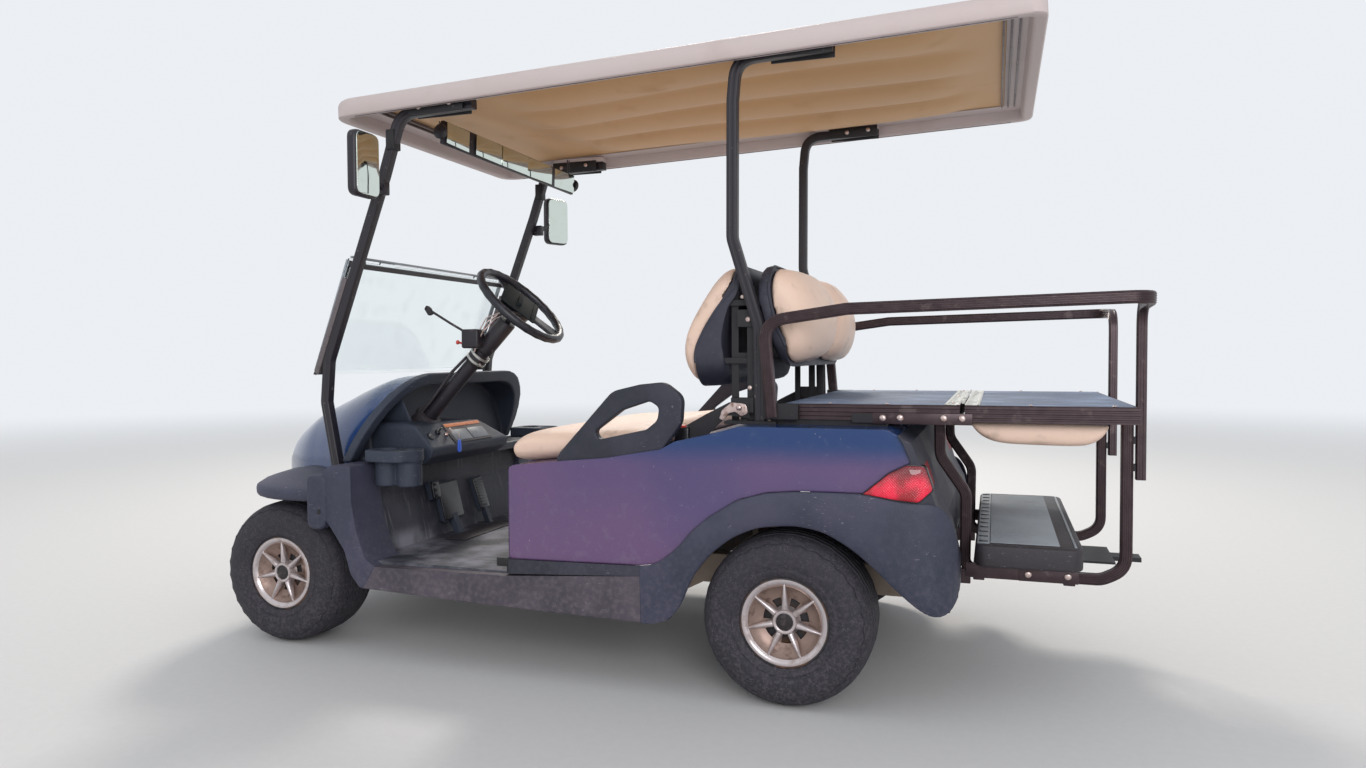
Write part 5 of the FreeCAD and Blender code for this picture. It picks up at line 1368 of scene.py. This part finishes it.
seams = [block(from_origin(x, x + 5), (-440, 440), (30, 40), 1) for x in (-938, -958, -978, 905, 930)]
seams += twin_blocks(from_origin(-965, 950), 529, 533, (-1.6, 2), 0.5)
settle(join([on_roof(piece) for piece in seams]), "roof_seams", channel_brown)
settle(shell, "moulded_roof", roof_sheet, 45, replaced="roof")
# the underside takes the darker, warmer copy of the roof finish: painted shade
settle(liner, "roof_underside", roof_shade_copy, 60, replaced="roof")
strut_pads = twin_blocks((960, 1172), 458, 510, (1694, 1712), 3)
strut_pads += twin_blocks((-112, 116), 458, 510, (1738, 1752), 3)
settle(join(strut_pads), "roof_pads", roof_sheet)
print("Roof ready")

# %% [markdown]
# ## The hood
# The hood is a soft skin through a few cross-sections of the nose. Between them
# the sizes follow a smooth curve, and the rear edge leans back with the arch trim.

# %% Hood skin
# x from the rear axle, half width, top, corner radius
NOSE = [
    (1250, 490, 870, 285), (1400, 478, 856, 262), (1500, 452, 822, 235), (1615, 405, 775, 195),
    (1700, 368, 742, 168), (1760, 332, 712, 148), (1840, 272, 662, 100), (1900, 215, 598, 50),
    (1941, 130, 530, 12)
]
NOSE_BASE, CORNER_STEPS = 504, 24


def eased(rows, x):
    """A row of sizes at any x, on a smooth curve through the rows given."""
    k = max(1, min(len(rows) - 3, sum(row[0] <= x for row in rows) - 1))
    t = (x - rows[k][0]) / (rows[k + 1][0] - rows[k][0])
    t = min(1.0, max(-1.0, t)) if k == 1 else t
    sizes = []
    for before, start, end, after in zip(*(rows[k + j] for j in (-1, 0, 1, 2))):
        slope_in, slope_out = (end - before) / 2, (after - start) / 2
        sizes.append((2 * t**3 - 3 * t**2 + 1) * start + (t**3 - 2 * t**2 + t) * slope_in
                     + (3 * t**2 - 2 * t**3) * end + (t**3 - t**2) * slope_out)
    return sizes


def straight(first, second, x):
    """A row of sizes at any x, on the straight line through two rows."""
    share = (x - first[0]) / (second[0] - first[0])
    return [a + (b - a) * share for a, b in zip(first, second)]


def nose_section(x):
    """Half of a hoop over the nose and its other half, as places across and up."""
    if x < NOSE[1][0]:
        sizes = straight(NOSE[0], NOSE[1], x)
    elif x > NOSE[-2][0]:
        sizes = straight(NOSE[-2], NOSE[-1], x)
    else:
        sizes = eased(NOSE, x)
    half, top = sizes[1], sizes[2]
    corner = min(sizes[3], top - NOSE_BASE - 2)
    section = [(half, NOSE_BASE - 6)]
    for step in range(CORNER_STEPS + 1):
        angle = math.pi / 2 * step / CORNER_STEPS
        section.append((half - corner + corner * math.cos(angle), top - corner + corner * math.sin(angle)))
    return section + [(0, top + 3)] + [(-y, z) for y, z in reversed(section)]


columns = range(1250, 1942, 23)
sections = [nose_section(x) for x in columns]
points = [spot(x, y, z) for x, section in zip(columns, sections) for y, z in section]
width = len(sections[0])
faces = [(i * width + k, i * width + k + 1, (i + 1) * width + k + 1, (i + 1) * width + k)
         for i in range(len(columns) - 1) for k in range(width - 1)]
faces.append(tuple((len(columns) - 1) * width + k for k in range(width)))
hood = built("hood", points, faces)
# the rear edge leans back, and the lower edge is level
CUTS = [((1444, 0, 600), (0.886, 0, 0.464)), ((1500, 0, NOSE_BASE), (0, 0, 1))]
for place, normal in CUTS:
    edit(hood)
    bpy.ops.mesh.bisect(plane_co=spot(*place), plane_no=normal, clear_inner=True)
    leave_edit()
outwards(hood)
modify(hood, "SOLIDIFY", thickness=0.007, offset=-1)
for cutter in twin_blocks((1790, 1990), 146, 250, (569, 629), 8):
    modify(hood, "BOOLEAN", object=cutter, operation="DIFFERENCE", solver="EXACT")
    bpy.data.objects.remove(cutter)
settle(hood, "hood_skin", navy, 35, replaced="front_cowl")

# %% [markdown]
# ## Moulded panels
# The dash and its cup holders come out of a mould with no sharp edge on them. A
# copy of each CAD piece is remeshed evenly and smoothed, which rounds every edge.
# The front fenders are lofted here: one round lip runs round the nose, and a
# pillar on each side carries it up to the arch trim.

# %% Moulded copies
def moulded(source, name, voxel, rounds, ratio):
    """A soft-edged copy of a CAD piece, made lighter where it is plain."""
    piece = linked(name, nodes[source].data.copy())
    piece.data.transform(nodes[source].matrix_world)
    modify(piece, "REMESH", mode="VOXEL", voxel_size=voxel)
    modify(piece, "SMOOTH", factor=0.5, iterations=rounds)
    modify(piece, "DECIMATE", ratio=ratio)
    settle(piece, name, dash_plastic, 60, replaced=source)
    print(name, "faces:", len(piece.data.polygons))


moulded("dashboard", "moulded_dash", 0.0042, 10, 0.25)
moulded("cup_holders", "moulded_cups", 0.003, 5, 0.3)

# %% Front fenders
# x from the rear axle, half width, and the way each point moves in as the top narrows
FENDER_PLAN = [
    (1426, 596, 0, -1), (1600, 596, 0, -1), (1648, 588, -0.2, -0.98), (1690, 575, -0.35, -0.94),
    (1728, 555, -0.5, -0.87), (1760, 530, -0.6, -0.8), (1798, 490, -0.68, -0.73), (1830, 440, -0.75, -0.66),
    (1864, 388, -0.8, -0.58), (1890, 330, -0.85, -0.5), (1915, 262, -0.93, -0.36), (1935, 180, -1, -0.2)
]
# height, how far the outline has moved in: a thick round lip, then a slope up to the hood
FENDER_ROWS = [
    (478, 60), (474, 30), (474, 14), (478, 5), (486, 1), (497, 0), (507, 3), (514, 13), (522, 38),
    (533, 78), (545, 122), (558, 166), (566, 196)
]
PILLAR = [
    (1255, 290, 8), (1291, 311, 40), (1322, 394, 60), (1339, 485), (1340, 592, 8), (1420, 592, 40),
    (1452, 556), (1500, 520), (1500, 484), (1467, 451, 20), (1421, 407, 30), (1367, 333, 30),
    (1345, 262, 20), (1312, 222, 14), (1296, 221, 4)
]
rings = []
for z, moved in FENDER_ROWS:
    near = [Vector((x + moved * dx, half + moved * dy)) for x, half, dx, dy in FENDER_PLAN]
    rings.append((near + [Vector((point.x, -point.y)) for point in reversed(near)], z))
tray = ring_loft(rings)
tray.data.transform(Matrix.Translation((REAR_AXLE, 0, 0)))
outwards(tray)
pillar = plate(PILLAR, 446, 596, "side", 14, 5, 8)
SOCKET = [(1432, 560, 20), (1500, 560, 20), (1500, 392, 30), (1432, 392, 30)]
socket = plate(SOCKET, 540, 602, "side", 9, 4, 8)
# painted shade: a flat black plate stands for the screw hole in each socket
hole_shade_plate = plate([(1446, 456, 6), (1458, 456, 6), (1458, 440, 6), (1446, 440, 6)], 600, 603, "side")
fenders = join([tray, pillar, socket, mirrored(pillar), mirrored(socket)])
settle(fenders, "moulded_fenders", fender_plastic, 50, replaced="front_fenders")
settle(both(hole_shade_plate), "socket_hole_shade", black_gloss)

# %% [markdown]
# ## Rear flares and lamps
# The flare over each rear wheel is a smooth skin between its top line and the edge
# of the wheel arch. It swells a little, and turns in with the body at the rear
# corner. The lamp is a shallow dome on the same corner, in a thin dark bezel.

# %% Flares
FLARE_TOP = [
    (397, 352), (348, 360), (290, 405), (249, 454), (201, 495), (123, 544), (46, 566), (-29, 573),
    (-120, 575), (-205, 574), (-283, 559), (-339, 554), (-384, 556), (-414, 520), (-430, 450), (-434, 360)
]
FLARE_EDGE = [
    (394, 196), (361, 195), (312, 211), (277, 254), (245, 332), (197, 396), (135, 446), (67, 476),
    (-30, 486), (-105, 474), (-176, 435), (-233, 388), (-275, 347), (-316, 311), (-345, 288), (-372, 272),
    (-398, 270), (-420, 286), (-431, 316)
]
# how far down the flare, and how far it stands out there
FLARE_SWELL = [
    (0, 0.8), (0.04, 3), (0.12, 5), (0.3, 8), (0.5, 9), (0.7, 8.6), (0.85, 6.5), (0.94, 4.5), (0.98, 2.5),
    (1, 0.8)
]
BODY_HALF, FLARE_RISE = 596, 0.8
# where the rear corner starts to turn in, how deep and how far it runs, and the same for its sharper end
CORNER_START, CORNER_DEPTH, CORNER_RUN, CORNER_POWER = -232, 42, 180, 4.2
END_START, END_DEPTH, END_RUN = -412, 14, 25


def turned_in(x):
    """How far the side of the body has turned in at a place near the rear corner."""
    depth = CORNER_DEPTH * (max(0.0, CORNER_START - x) / CORNER_RUN) ** CORNER_POWER
    return depth + END_DEPTH * (max(0.0, END_START - x) / END_RUN) ** 2


def flare(stations=80):
    """The skin over the left rear wheel, which fades into the body at both ends."""
    points, faces = [], []
    tops, edges = smooth_line(FLARE_TOP, stations, 4), smooth_line(FLARE_EDGE, stations, 4)
    for i, (top, edge) in enumerate(zip(tops, edges)):
        share = i / (stations - 1)
        fade = min(1.0, share * 7, (1 - share) * 9)
        for down, out in FLARE_SWELL:
            here = top.lerp(edge, down)
            off = FLARE_RISE + (out - FLARE_RISE) * fade
            points.append(spot(here.x, BODY_HALF + off - turned_in(here.x), here.y))
    rows = len(FLARE_SWELL)
    for i in range(stations - 1):
        for k in range(rows - 1):
            first = i * rows + k
            faces.append((first, first + 1, first + rows + 1, first + rows))
    piece = built("flare", points, faces)
    piece.data.update()
    if sum(polygon.normal.y for polygon in piece.data.polygons) < 0:
        piece.data.flip_normals()
    return modify(piece, "SOLIDIFY", thickness=0.004, offset=-1)


settle(both(flare()), "moulded_flares", fender_plastic, 50)

# %% Tail lamps
TAIL_LAMP = [
    (-205, 575), (-269, 629, 20), (-311, 650, 20), (-354, 648, 14), (-373, 590, 12), (-339, 558, 20),
    (-283, 563)
]
# how much of the outline is left, and how far the lens stands out there
LENS_RINGS = [(1, -26), (1, 0), (0.985, 2.5), (0.94, 5), (0.84, 7.5), (0.66, 9.5), (0.4, 10.6), (0.15, 11)]
BEZEL_RINGS = [(1.05, -26), (1.05, 0), (1.035, 1.6), (0.99, 1.8), (0.98, 0.5)]


def lamp_form(levels):
    """A form on the body's rear corner, through shrinking copies of the lamp's outline."""
    outline = rounded(TAIL_LAMP, 6)
    middle = sum(outline, Vector((0, 0))) / len(outline)
    rings = [([middle + (p - middle) * scale for p in outline], out) for scale, out in levels]
    piece = ring_loft(rings)
    for vertex in piece.data.vertices:
        x, z, out = vertex.co * 1000
        vertex.co = spot(x, BODY_HALF + out - turned_in(x), z)
    return both(outwards(piece))


settle(lamp_form(LENS_RINGS), "tail_lenses", red, 50)
settle(lamp_form(BEZEL_RINGS), "tail_bezels", black_gloss, 40)

# %% [markdown]
# ## Hip restraints
# Each is one thick moulded loop. Its opening is cut through, and every edge is round.

# %% Hip loops
HIP = [
    (655, 634, 16), (640, 656, 16), (482, 826, 60), (400, 845, 60), (330, 852, 50), (277, 812, 40),
    (282, 740, 60), (340, 660), (500, 600), (640, 600)
]
HIP_OPENING = [
    (536, 713, 14), (452, 774, 30), (372, 800, 24), (345, 783, 18), (350, 748, 30), (382, 722, 20),
    (521, 692, 14)
]
loop = plate(HIP, 548, 578, "side", steps=8)
opening = plate(HIP_OPENING, 500, 640, "side", steps=8)
modify(loop, "BOOLEAN", object=opening, operation="DIFFERENCE", solver="EXACT")
bpy.data.objects.remove(opening)
soften(loop, 11, 5, 40)
loops = both(loop)
settle(loops, "hip_loops", seat_plastic, 60, replaced="hip_restraints")

# %% [markdown]
# ## Small parts made at the origin
# A chip, a dome or a post is made round the origin, along +Z, and then aimed at
# its place. Bolts come from one list of places for each direction.

# %% Chips, domes and bolts
def chip(length, width, height, bevel=1, segments=2, corner=0):
    """A soft block on the origin: length along X, width along Y, height up from 0."""
    x, y = length / 2, width / 2
    if not corner:
        bpy.ops.object.select_all(action="DESELECT")
        bpy.ops.mesh.primitive_cube_add(size=1)
        piece = bpy.context.object
        sizes = Matrix.Diagonal((length / 1000, width / 1000, height / 1000, 1))
        piece.data.transform(Matrix.Translation((0, 0, height / 2000)) @ sizes)
        return soften(piece, bevel, segments)
    outline = [(x, y, corner), (-x, y, corner), (-x, -y, corner), (x, -y, corner)]
    piece = plate(outline, 0, height, "top", bevel, segments)
    piece.data.transform(Matrix.Translation(-spot(0, 0, 0)))
    return piece


def dome(radius, height, steps=16):
    profile = [(0.01, 0), (radius, 0), (radius, height * 0.35), (radius * 0.82, height * 0.78)]
    return lathe(profile + [(radius * 0.45, height), (0.01, height)], steps)


def turned(matrix, degrees):
    return matrix @ Matrix.Rotation(math.radians(degrees), 4, "Z")


def placed(piece, place, direction, turn=0):
    piece.data.transform(turned(aimed(spot(*place), direction), turn))
    return piece


# x, y and z on the left side, radius
SIDE_BOLTS = [
    (142, 456.5, 1083, 6), (126, 456.5, 1021, 8), (123, 450.5, 833, 7), (-240, 485.5, 758, 9),
    (-284, 485.5, 759, 9), (-392, 485.5, 760, 9), (-437, 485.5, 760, 9), (-597, 434, 364, 9),
    (-690, 434, 365, 9), (1246, 499.5, 1594, 4), (1450, 492, 500, 5)
]
TOP_BOLTS = [
    (-250, 470, 794), (-100, 470, 794), (-600, 470, 794), (-790, 470, 794), (-413, 400, 795.4),
    (-413, 0, 795.4), (-413, -400, 795.4), (1340, 470, 600), (60, 487, 746)
]

# x and z of the bolts through each roof bracket, and y of its two faces
BRACKET_BOLTS = [(1136, 1677), (1030, 1681), (-5, 1724), (-80, 1728)]
BRACKET_OUTSIDE, BRACKET_INSIDE = 510, 455

heads = []
for side in (1, -1):
    for x, y, z, radius in SIDE_BOLTS:
        heads.append(placed(dome(radius, radius * 0.55), (x, y * side, z), (0, side, 0)))
    for x, z in BRACKET_BOLTS:
        heads.append(placed(dome(8, 4.5), (x, BRACKET_OUTSIDE * side, z), (0, side, 0)))
        heads.append(placed(dome(8, 4.5), (x, BRACKET_INSIDE * side, z), (0, -side, 0)))
for x, y, z in TOP_BOLTS:
    for side in (1, -1) if y > 0 else (1,):
        heads.append(placed(dome(5, 2.4), (x, y * side, z), (0, 0, 1)))
settle(join(heads), "bolt_heads", bolt_metal)

# %% Roof brackets
plates = twin_blocks((1232, 1262), 466, 503, (1560, 1622), 3)
for near, far in ((BRACKET_INSIDE, 461), (505, BRACKET_OUTSIDE)):
    plates += twin_blocks((985, 1174), near, far, (1656, 1698), 1.5)
    plates += twin_blocks((-112, 60), near, far, (1706, 1744), 1.5)
settle(join(plates), "bracket_plates", bracket_steel)

# %% [markdown]
# ## Steering wheel
# The wheel is made flat, with its top towards +Y, and then laid on the column.
# It stands turned by 30 degrees, as in the photograph.

# %% Steering wheel
STEER_CENTRE = (938, 250, 1087)
STEER_UP = Vector((-0.697, 0, 0.717))
RING, GRIP = 157, 13.5
steer_place = turned(aimed(spot(*STEER_CENTRE), STEER_UP), 30)
ring_path = [Vector((u, v, 0)) / 1000 for u, v in circle(RING, 72)]
ring = sweep(ring_path, circle(GRIP, 14), Vector((0, 0, 1)), closed=True)
for vertex in ring.data.vertices:
    angle = math.atan2(vertex.co.y, vertex.co.x)
    middle = Vector((math.cos(angle), math.sin(angle), 0)) * RING / 1000
    swell = 1 + 0.05 * math.cos(angle * 24)
    vertex.co = middle + (vertex.co - middle) * swell
wheel_parts = [ring]
for angle in (-90, 30, 150):
    outline = [(18, 40), (70, 25, 20), (150, 31), (150, -31), (70, -25, 20), (18, -40)]
    spoke_plate = plate(outline, -14, -4, "top", 3.5)
    spoke_plate.data.transform(turned(Matrix.Identity(4), angle) @ Matrix.Translation(-spot(0, 0, 0)))
    wheel_parts.append(spoke_plate)
wheel_parts.append(lathe([(0.01, 2), (30, 1), (44, -6), (48, -18), (42, -52), (0.01, -52)]))
wheel_parts.append(lathe([(0.01, -40), (9.5, -40), (9.5, -120), (0.01, -120)], 16))
steer_piece = join(wheel_parts)
steer_piece.data.transform(steer_place)
settle(
    steer_piece, "steering_ring", wheel_grip, 40, replaced="steering_wheel", body="steering"
)
board = chip(178, 132, 4, 1.5, 2, 14)
board.data.transform(steer_place @ Matrix.Translation((0, 0.008, 0.003)))
board_lip = chip(150, 6, 8, 1.5)
board_lip.data.transform(steer_place @ Matrix.Translation((0, -0.042, 0.003)))
settle(join([board, board_lip]), "score_board", board_black, body="steering")
clip = chip(84, 17, 11, 3)
clip.data.transform(steer_place @ Matrix.Translation((0, 0.012, 0.006)))
settle(clip, "score_clip", board_black, body="steering")

# %% [markdown]
# ## Controls and dash
# On the column are a box with a lever, two hose clamps, three wires, a cable and
# a small red knob. The panel has a switch, a key with a blue tag, and a plain
# label without any words.

# %% Column dressing
knob = lathe([(0.01, 0), (4, 0), (3.4, 12), (7, 15), (7.5, 20), (4, 23), (0.01, 23)], 16)
placed(knob, (1124, 300, 966), (0.82, 0.4, 0.2))
settle(knob, "red_pull", red_knob)


def along_column(distance, out=0.0, angle=0.0):
    """A place near the steering column: how far from the wheel's centre, and out from its axis."""
    place = Vector(STEER_CENTRE) + STEER_UP * distance
    ahead = Vector((STEER_UP.z, 0, -STEER_UP.x))
    return place + (Vector((0, 1, 0)) * math.cos(angle) + ahead * math.sin(angle)) * out


clamps = []
for distance in (-246, -224):
    band = lathe([(33, 0), (34.6, 0), (34.6, 8), (33, 8), (33, 0)])
    clamps.append(placed(band, along_column(distance), STEER_UP))
clamps.append(placed(chip(16, 9, 8, 1), along_column(-236, 37, -0.9), (0.2, 0.6, -0.5)))
settle(join(clamps), "hose_clamps", zinc)
wires = []
for angle, lift in ((0.9, 12), (1.5, 18), (2.2, 15)):
    places = [(-70, 40, 0), (-110, 44 + lift, 0.2), (-170, 40 + lift / 2, 0.5), (-214, 35, 0.7)]
    path = [along_column(distance, out, angle - back) for distance, out, back in places]
    wires.append(wire(path, 30, 2.2))
settle(join(wires), "column_wires", bolt_metal)
POST = [(0.01, -560), (24, -560), (24, -205), (29, -200), (30, -196), (30, -74), (27, -70), (0.01, -70)]
COLLAR = [(0.01, -256), (31, -256), (33, -252), (33, -218), (31, -214), (0.01, -214)]
post, collar = [placed(lathe(profile), STEER_CENTRE, STEER_UP) for profile in (POST, COLLAR)]
switch_box = block((1062, 1124), (268, 314), (950, 1012), 7, 3)
lever = wire([(1112, 296, 1000), (1160, 312, 1030), (1222, 333, 1072)], 20, 4, 10)
PADDLE = [(1214, 1062, 3), (1228, 1056, 6), (1244, 1078, 6), (1236, 1092, 6), (1222, 1080, 4)]
paddle = plate(PADDLE, 326, 340, "side", 3)
column = join([post, collar, switch_box, lever, paddle])
settle(column, "column_post", strut_steel, replaced="steering_column")
CABLE = [(-250, 34, 0.6), (-330, 36, 0.9), (-430, 33, 0.6), (-545, 32, 0.5)]
cable_path = [along_column(*place) for place in CABLE]
boot = lathe([(27, 0), (44, -2), (46, -14), (40, -34), (44, -46), (27, -50)], 28)
placed(boot, along_column(-500), STEER_UP)
settle(join([wire(cable_path, 60, 5, 10), boot]), "column_cable", step_plastic)

# %% Panel
PANEL_OUT = (-0.727, 0, 0.687)


def on_panel(piece, share, y, out=0.5, turn=0):
    """Sets a piece on the sloping switch panel: how far up the slope, across the cart, and off it."""
    place = (1184 + 68 * share + PANEL_OUT[0] * out, y, 628 + 72 * share + PANEL_OUT[2] * out)
    return placed(piece, place, PANEL_OUT, turn)


panel = [on_panel(chip(26, 26, 3, 1, 2, 12), 0.5, 352), on_panel(dome(10, 9, 20), 0.62, 300)]
panel.append(on_panel(chip(12, 5, 20), 0.62, 300, 4, 20))
settle(join(panel), "switches", black_gloss)
label_base = on_panel(chip(236, 84, 2, 1.5, 2, 8), 0.5, 132)
settle(label_base, "label_base", step_plastic)
label_strip = on_panel(chip(216, 14, 1.2, 0.3), 0.84, 132, 2.4)
settle(label_strip, "label_strip", orange_strip)
label = [on_panel(chip(100, 46, 1.2, 0.3), 0.4, y, 2.4) for y in (78, 186)]
settle(join(label), "label_plates", plate_grey)
key = [on_panel(dome(8, 5, 20), 0.5, 262), on_panel(chip(3, 14, 24, 0.6), 0.5, 262, 3)]
key.append(wire([(1170, 262, 672), (1168, 260, 660), (1170, 258, 648)], 8, 1.2))
settle(join(key), "ignition_key", bolt_metal)
tag = plate([(251, 648, 8), (267, 648, 8), (270, 606, 10), (248, 606, 10)], 1167, 1170.5, "front", 1.4)
settle(tag, "key_tag", blue_tag)

# %% Pedals and floor trim
def leaning_pad(low, high, y, width, thick, ribs):
    """A ribbed rubber cover on a pedal, from its low edge to its high edge in side view."""
    start, end = Vector((low[0], y, low[1])), Vector((high[0], y, high[1]))
    slope = (end - start).normalized()
    out = Vector((-slope.z, 0, slope.x))
    length = (end - start).length
    parts = [placed(chip(width, length, thick, 3, 3, 6), (start + end) / 2, out)]
    for i in range(ribs):
        middle = start.lerp(end, (i + 0.5) / ribs) + out * thick
        parts.append(placed(chip(width - 14, length / ribs * 0.5, 2, 0.7), middle, out))
    return parts


covers = leaning_pad((1302, 350), (1334, 478), 92, 118, 8, 0)
covers += leaning_pad((1320, 432), (1332, 490), 172, 42, 9, 3)
covers += leaning_pad((1298, 354), (1338, 468), -110, 60, 7, 11)
settle(join(covers), "pedal_covers", black_gloss)
slot_plate = block((1180, 1262), (-150, 210), (301, 304), 1)
settle(slot_plate, "pedal_plate", step_plastic)

# %% [markdown]
# ## Mirrors
# The side mirrors are round-cornered shells on short arms. The long mirror under
# the roof has five panes, each turned a little, in one dark channel.

# %% Side mirrors
MIRROR_Y, MIRROR_Z = 626, 1490


def mirror_outline(wide, tall, corner):
    """A round-cornered panel round the mirror's middle, from its half width and half height."""
    turns = ((1, 1), (-1, 1), (-1, -1), (1, -1))
    return [(MIRROR_Y + wide * across, MIRROR_Z + tall * up, corner) for across, up in turns]


left_shell = plate(mirror_outline(56, 96, 26), 1234, 1266, "front", 10, 4)
arm = wire([(1266, 520, 1440), (1262, 560, 1462), (1256, 600, 1484)], 20, 8, 12)
clamp = block((1252, 1292), (496, 522), (1420, 1460), 4)
left_face = plate(mirror_outline(50, 90, 22), 1231, 1234.5, "front", 0.6)
# the right mirror is turned in towards the driver
stem = spot(1250, -MIRROR_Y, 0)
turn_in = turned(Matrix.Translation(stem), -24) @ Matrix.Translation(-stem)
right_shell, right_face = mirrored(left_shell), mirrored(left_face)
for piece in (right_shell, right_face):
    piece.data.transform(turn_in)
shells = join([left_shell, right_shell, both(join([arm, clamp]))])
settle(shells, "mirror_shells", strut_steel, replaced="side_mirrors")

# %% Long mirror
long_middle = Matrix.Translation(spot(1112, -22, 1617))
long_place = turned(long_middle, -8.5) @ Matrix.Rotation(math.radians(4), 4, "X")
bar_parts = [block(from_origin(-7, 7), (-370, 370), (-38, 38), 4)]
END_KNOB = [(0.01, 0), (22, 0), (24, 4), (24, 14), (18, 18), (0.01, 18)]
for side in (1, -1):
    bar_parts.append(spun(END_KNOB, 24, (0, 0.366 * side, 0), (0, side, 0)))
for piece in bar_parts:
    piece.data.transform(long_place)
for step in (-10, 6):
    bar_parts.append(wire([(1168, 330 + step, 1650), (1172, 340 + step, 1676)], 5, 2.5))
    bar_parts.append(wire([(1066, -370 + step, 1640), (1064, -366 + step, 1686)], 5, 2.5))
long_mirror = join(bar_parts)
settle(long_mirror, "long_mirror_channel", strut_steel, replaced="centre_mirror")
PANE_PITCH, PANE_TILT = 0.1445, 2.2
stand = turned(Matrix.Rotation(math.radians(-90), 4, "Y"), 90)
panes = []
for number in range(-2, 3):
    pane = chip(143, 68, 2, 0.6)
    on_bar = Matrix.Translation((-0.0085 - 0.0012 * (number % 2), number * PANE_PITCH, 0))
    pane.data.transform(long_place @ turned(on_bar, number * PANE_TILT) @ stand)
    panes.append(pane)
faces_piece = join([left_face, right_face] + panes)
settle(faces_piece, "mirror_panes", mirror, replaced="mirror_faces")

# %% [markdown]
# ## Belts
# A belt runs flat along each side, from the block on the back frame down into the
# body. A bright hook with a bolt holds it there, and its buckle waits by the hip loop.

# %% Belts
BELT = [
    (120, 752), (120, 792), (176, 794), (243, 760, 20), (322, 716), (318, 660), (236, 704, 10), (180, 757),
    (172, 757)
]
belts = both(plate(BELT, 473.2, 475.8, "side", 0.8))
settle(belts, "belt_webbing", strap, replaced="belt_straps")
HOOK = [
    (126, 790, 14), (168, 794, 16), (196, 772, 8), (204, 748, 4), (192, 744, 4), (176, 764, 10),
    (158, 768, 8), (140, 756, 6), (122, 764, 8)
]
hook = plate(HOOK, 477, 480.5, "side", 1.2)
hook_bolt = placed(dome(9, 8, 6), (146, 480.5, 780), (0, 1, 0))
settle(both(join([hook, hook_bolt])), "belt_hooks", bolt_metal)
buckle = block((290, 334), (466, 486), (672, 724), 6, 3)
settle(both(buckle), "belt_buckles", black_gloss)
buttons = twin_blocks((300, 326), 468, 484, (722, 729))
settle(join(buttons), "belt_buttons", red_knob)

# %% Windshield trim
def bar(u, v):
    """A plain oblong profile from its half width and half height."""
    return [(u, -v), (u, v), (-u, v), (-u, -v)]


seals = [block((1416, 1426), (-470, 470), (1238, 1245))]
side_channels = []
for side in (1, -1):
    seals.append(sweep([spot(1562, 470 * side, 880), spot(1430, 470 * side, 1232)], bar(5, 7)))
    side_channels.append(sweep([spot(1540, 484 * side, 872), spot(1424, 484 * side, 1172)], bar(17, 9)))
settle(join(seals), "windshield_seals", rib_plastic)
side_channels = soften(join(side_channels), 2)
settle(side_channels, "windshield_channels", channel_brown)

# %% Body seams
SEAM_PATH = [(1905, 230, 470), (1935, 120, 468), (1940, 0, 468), (1935, -120, 468), (1905, -230, 470)]
bumper_seam = wire(SEAM_PATH, 80, 3)
settle(bumper_seam, "bumper_seam", rocker_plastic)
settle(join(twin_blocks((394, 838), 591, 593, (322, 346), 0.8)), "rocker_strips", black_gloss)
print("Fittings ready")

# %% [markdown]
# ## The floor
# The floor isn't part of the cart, so it is marked as stage.

# %% Floor
bpy.ops.object.select_all(action="DESELECT")
bpy.ops.mesh.primitive_circle_add(vertices=96, radius=60, fill_type="NGON")
floor = bpy.context.object
floor.name = "studio_floor"
floor_paint = Recipe("studio_floor", Roughness=0.85)
floor_paint.finish(floor_paint.blend(floor_paint.noise(40, 6), rgb(196, 195, 194), rgb(203, 202, 201)))
sky = floor_paint.node("Emission", {}, {"Color": SKY_COLOUR, "Strength": SKY_STRENGTH})
away = floor_paint.node("VectorMath", {"operation": "LENGTH"}, {0: floor_paint.coords}, "Value")
mixed = floor_paint.node("MixShader", {}, {0: away.step(4.5, 16)})
floor_paint.tree.links.new(floor_paint.shader.outputs[0], mixed.socket.node.inputs[1])
floor_paint.tree.links.new(sky.socket, mixed.socket.node.inputs[2])
floor_paint.tree.links.new(mixed.socket, floor_paint.tree.nodes["Material Output"].inputs["Surface"])
floor.data.materials.append(floor_paint.material)
floor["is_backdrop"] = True

# %% Close
for name, corners in (("cad", cad_box), ("visual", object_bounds())):
    print(name, [[round(value, 4) for value in corner] for corner in corners])
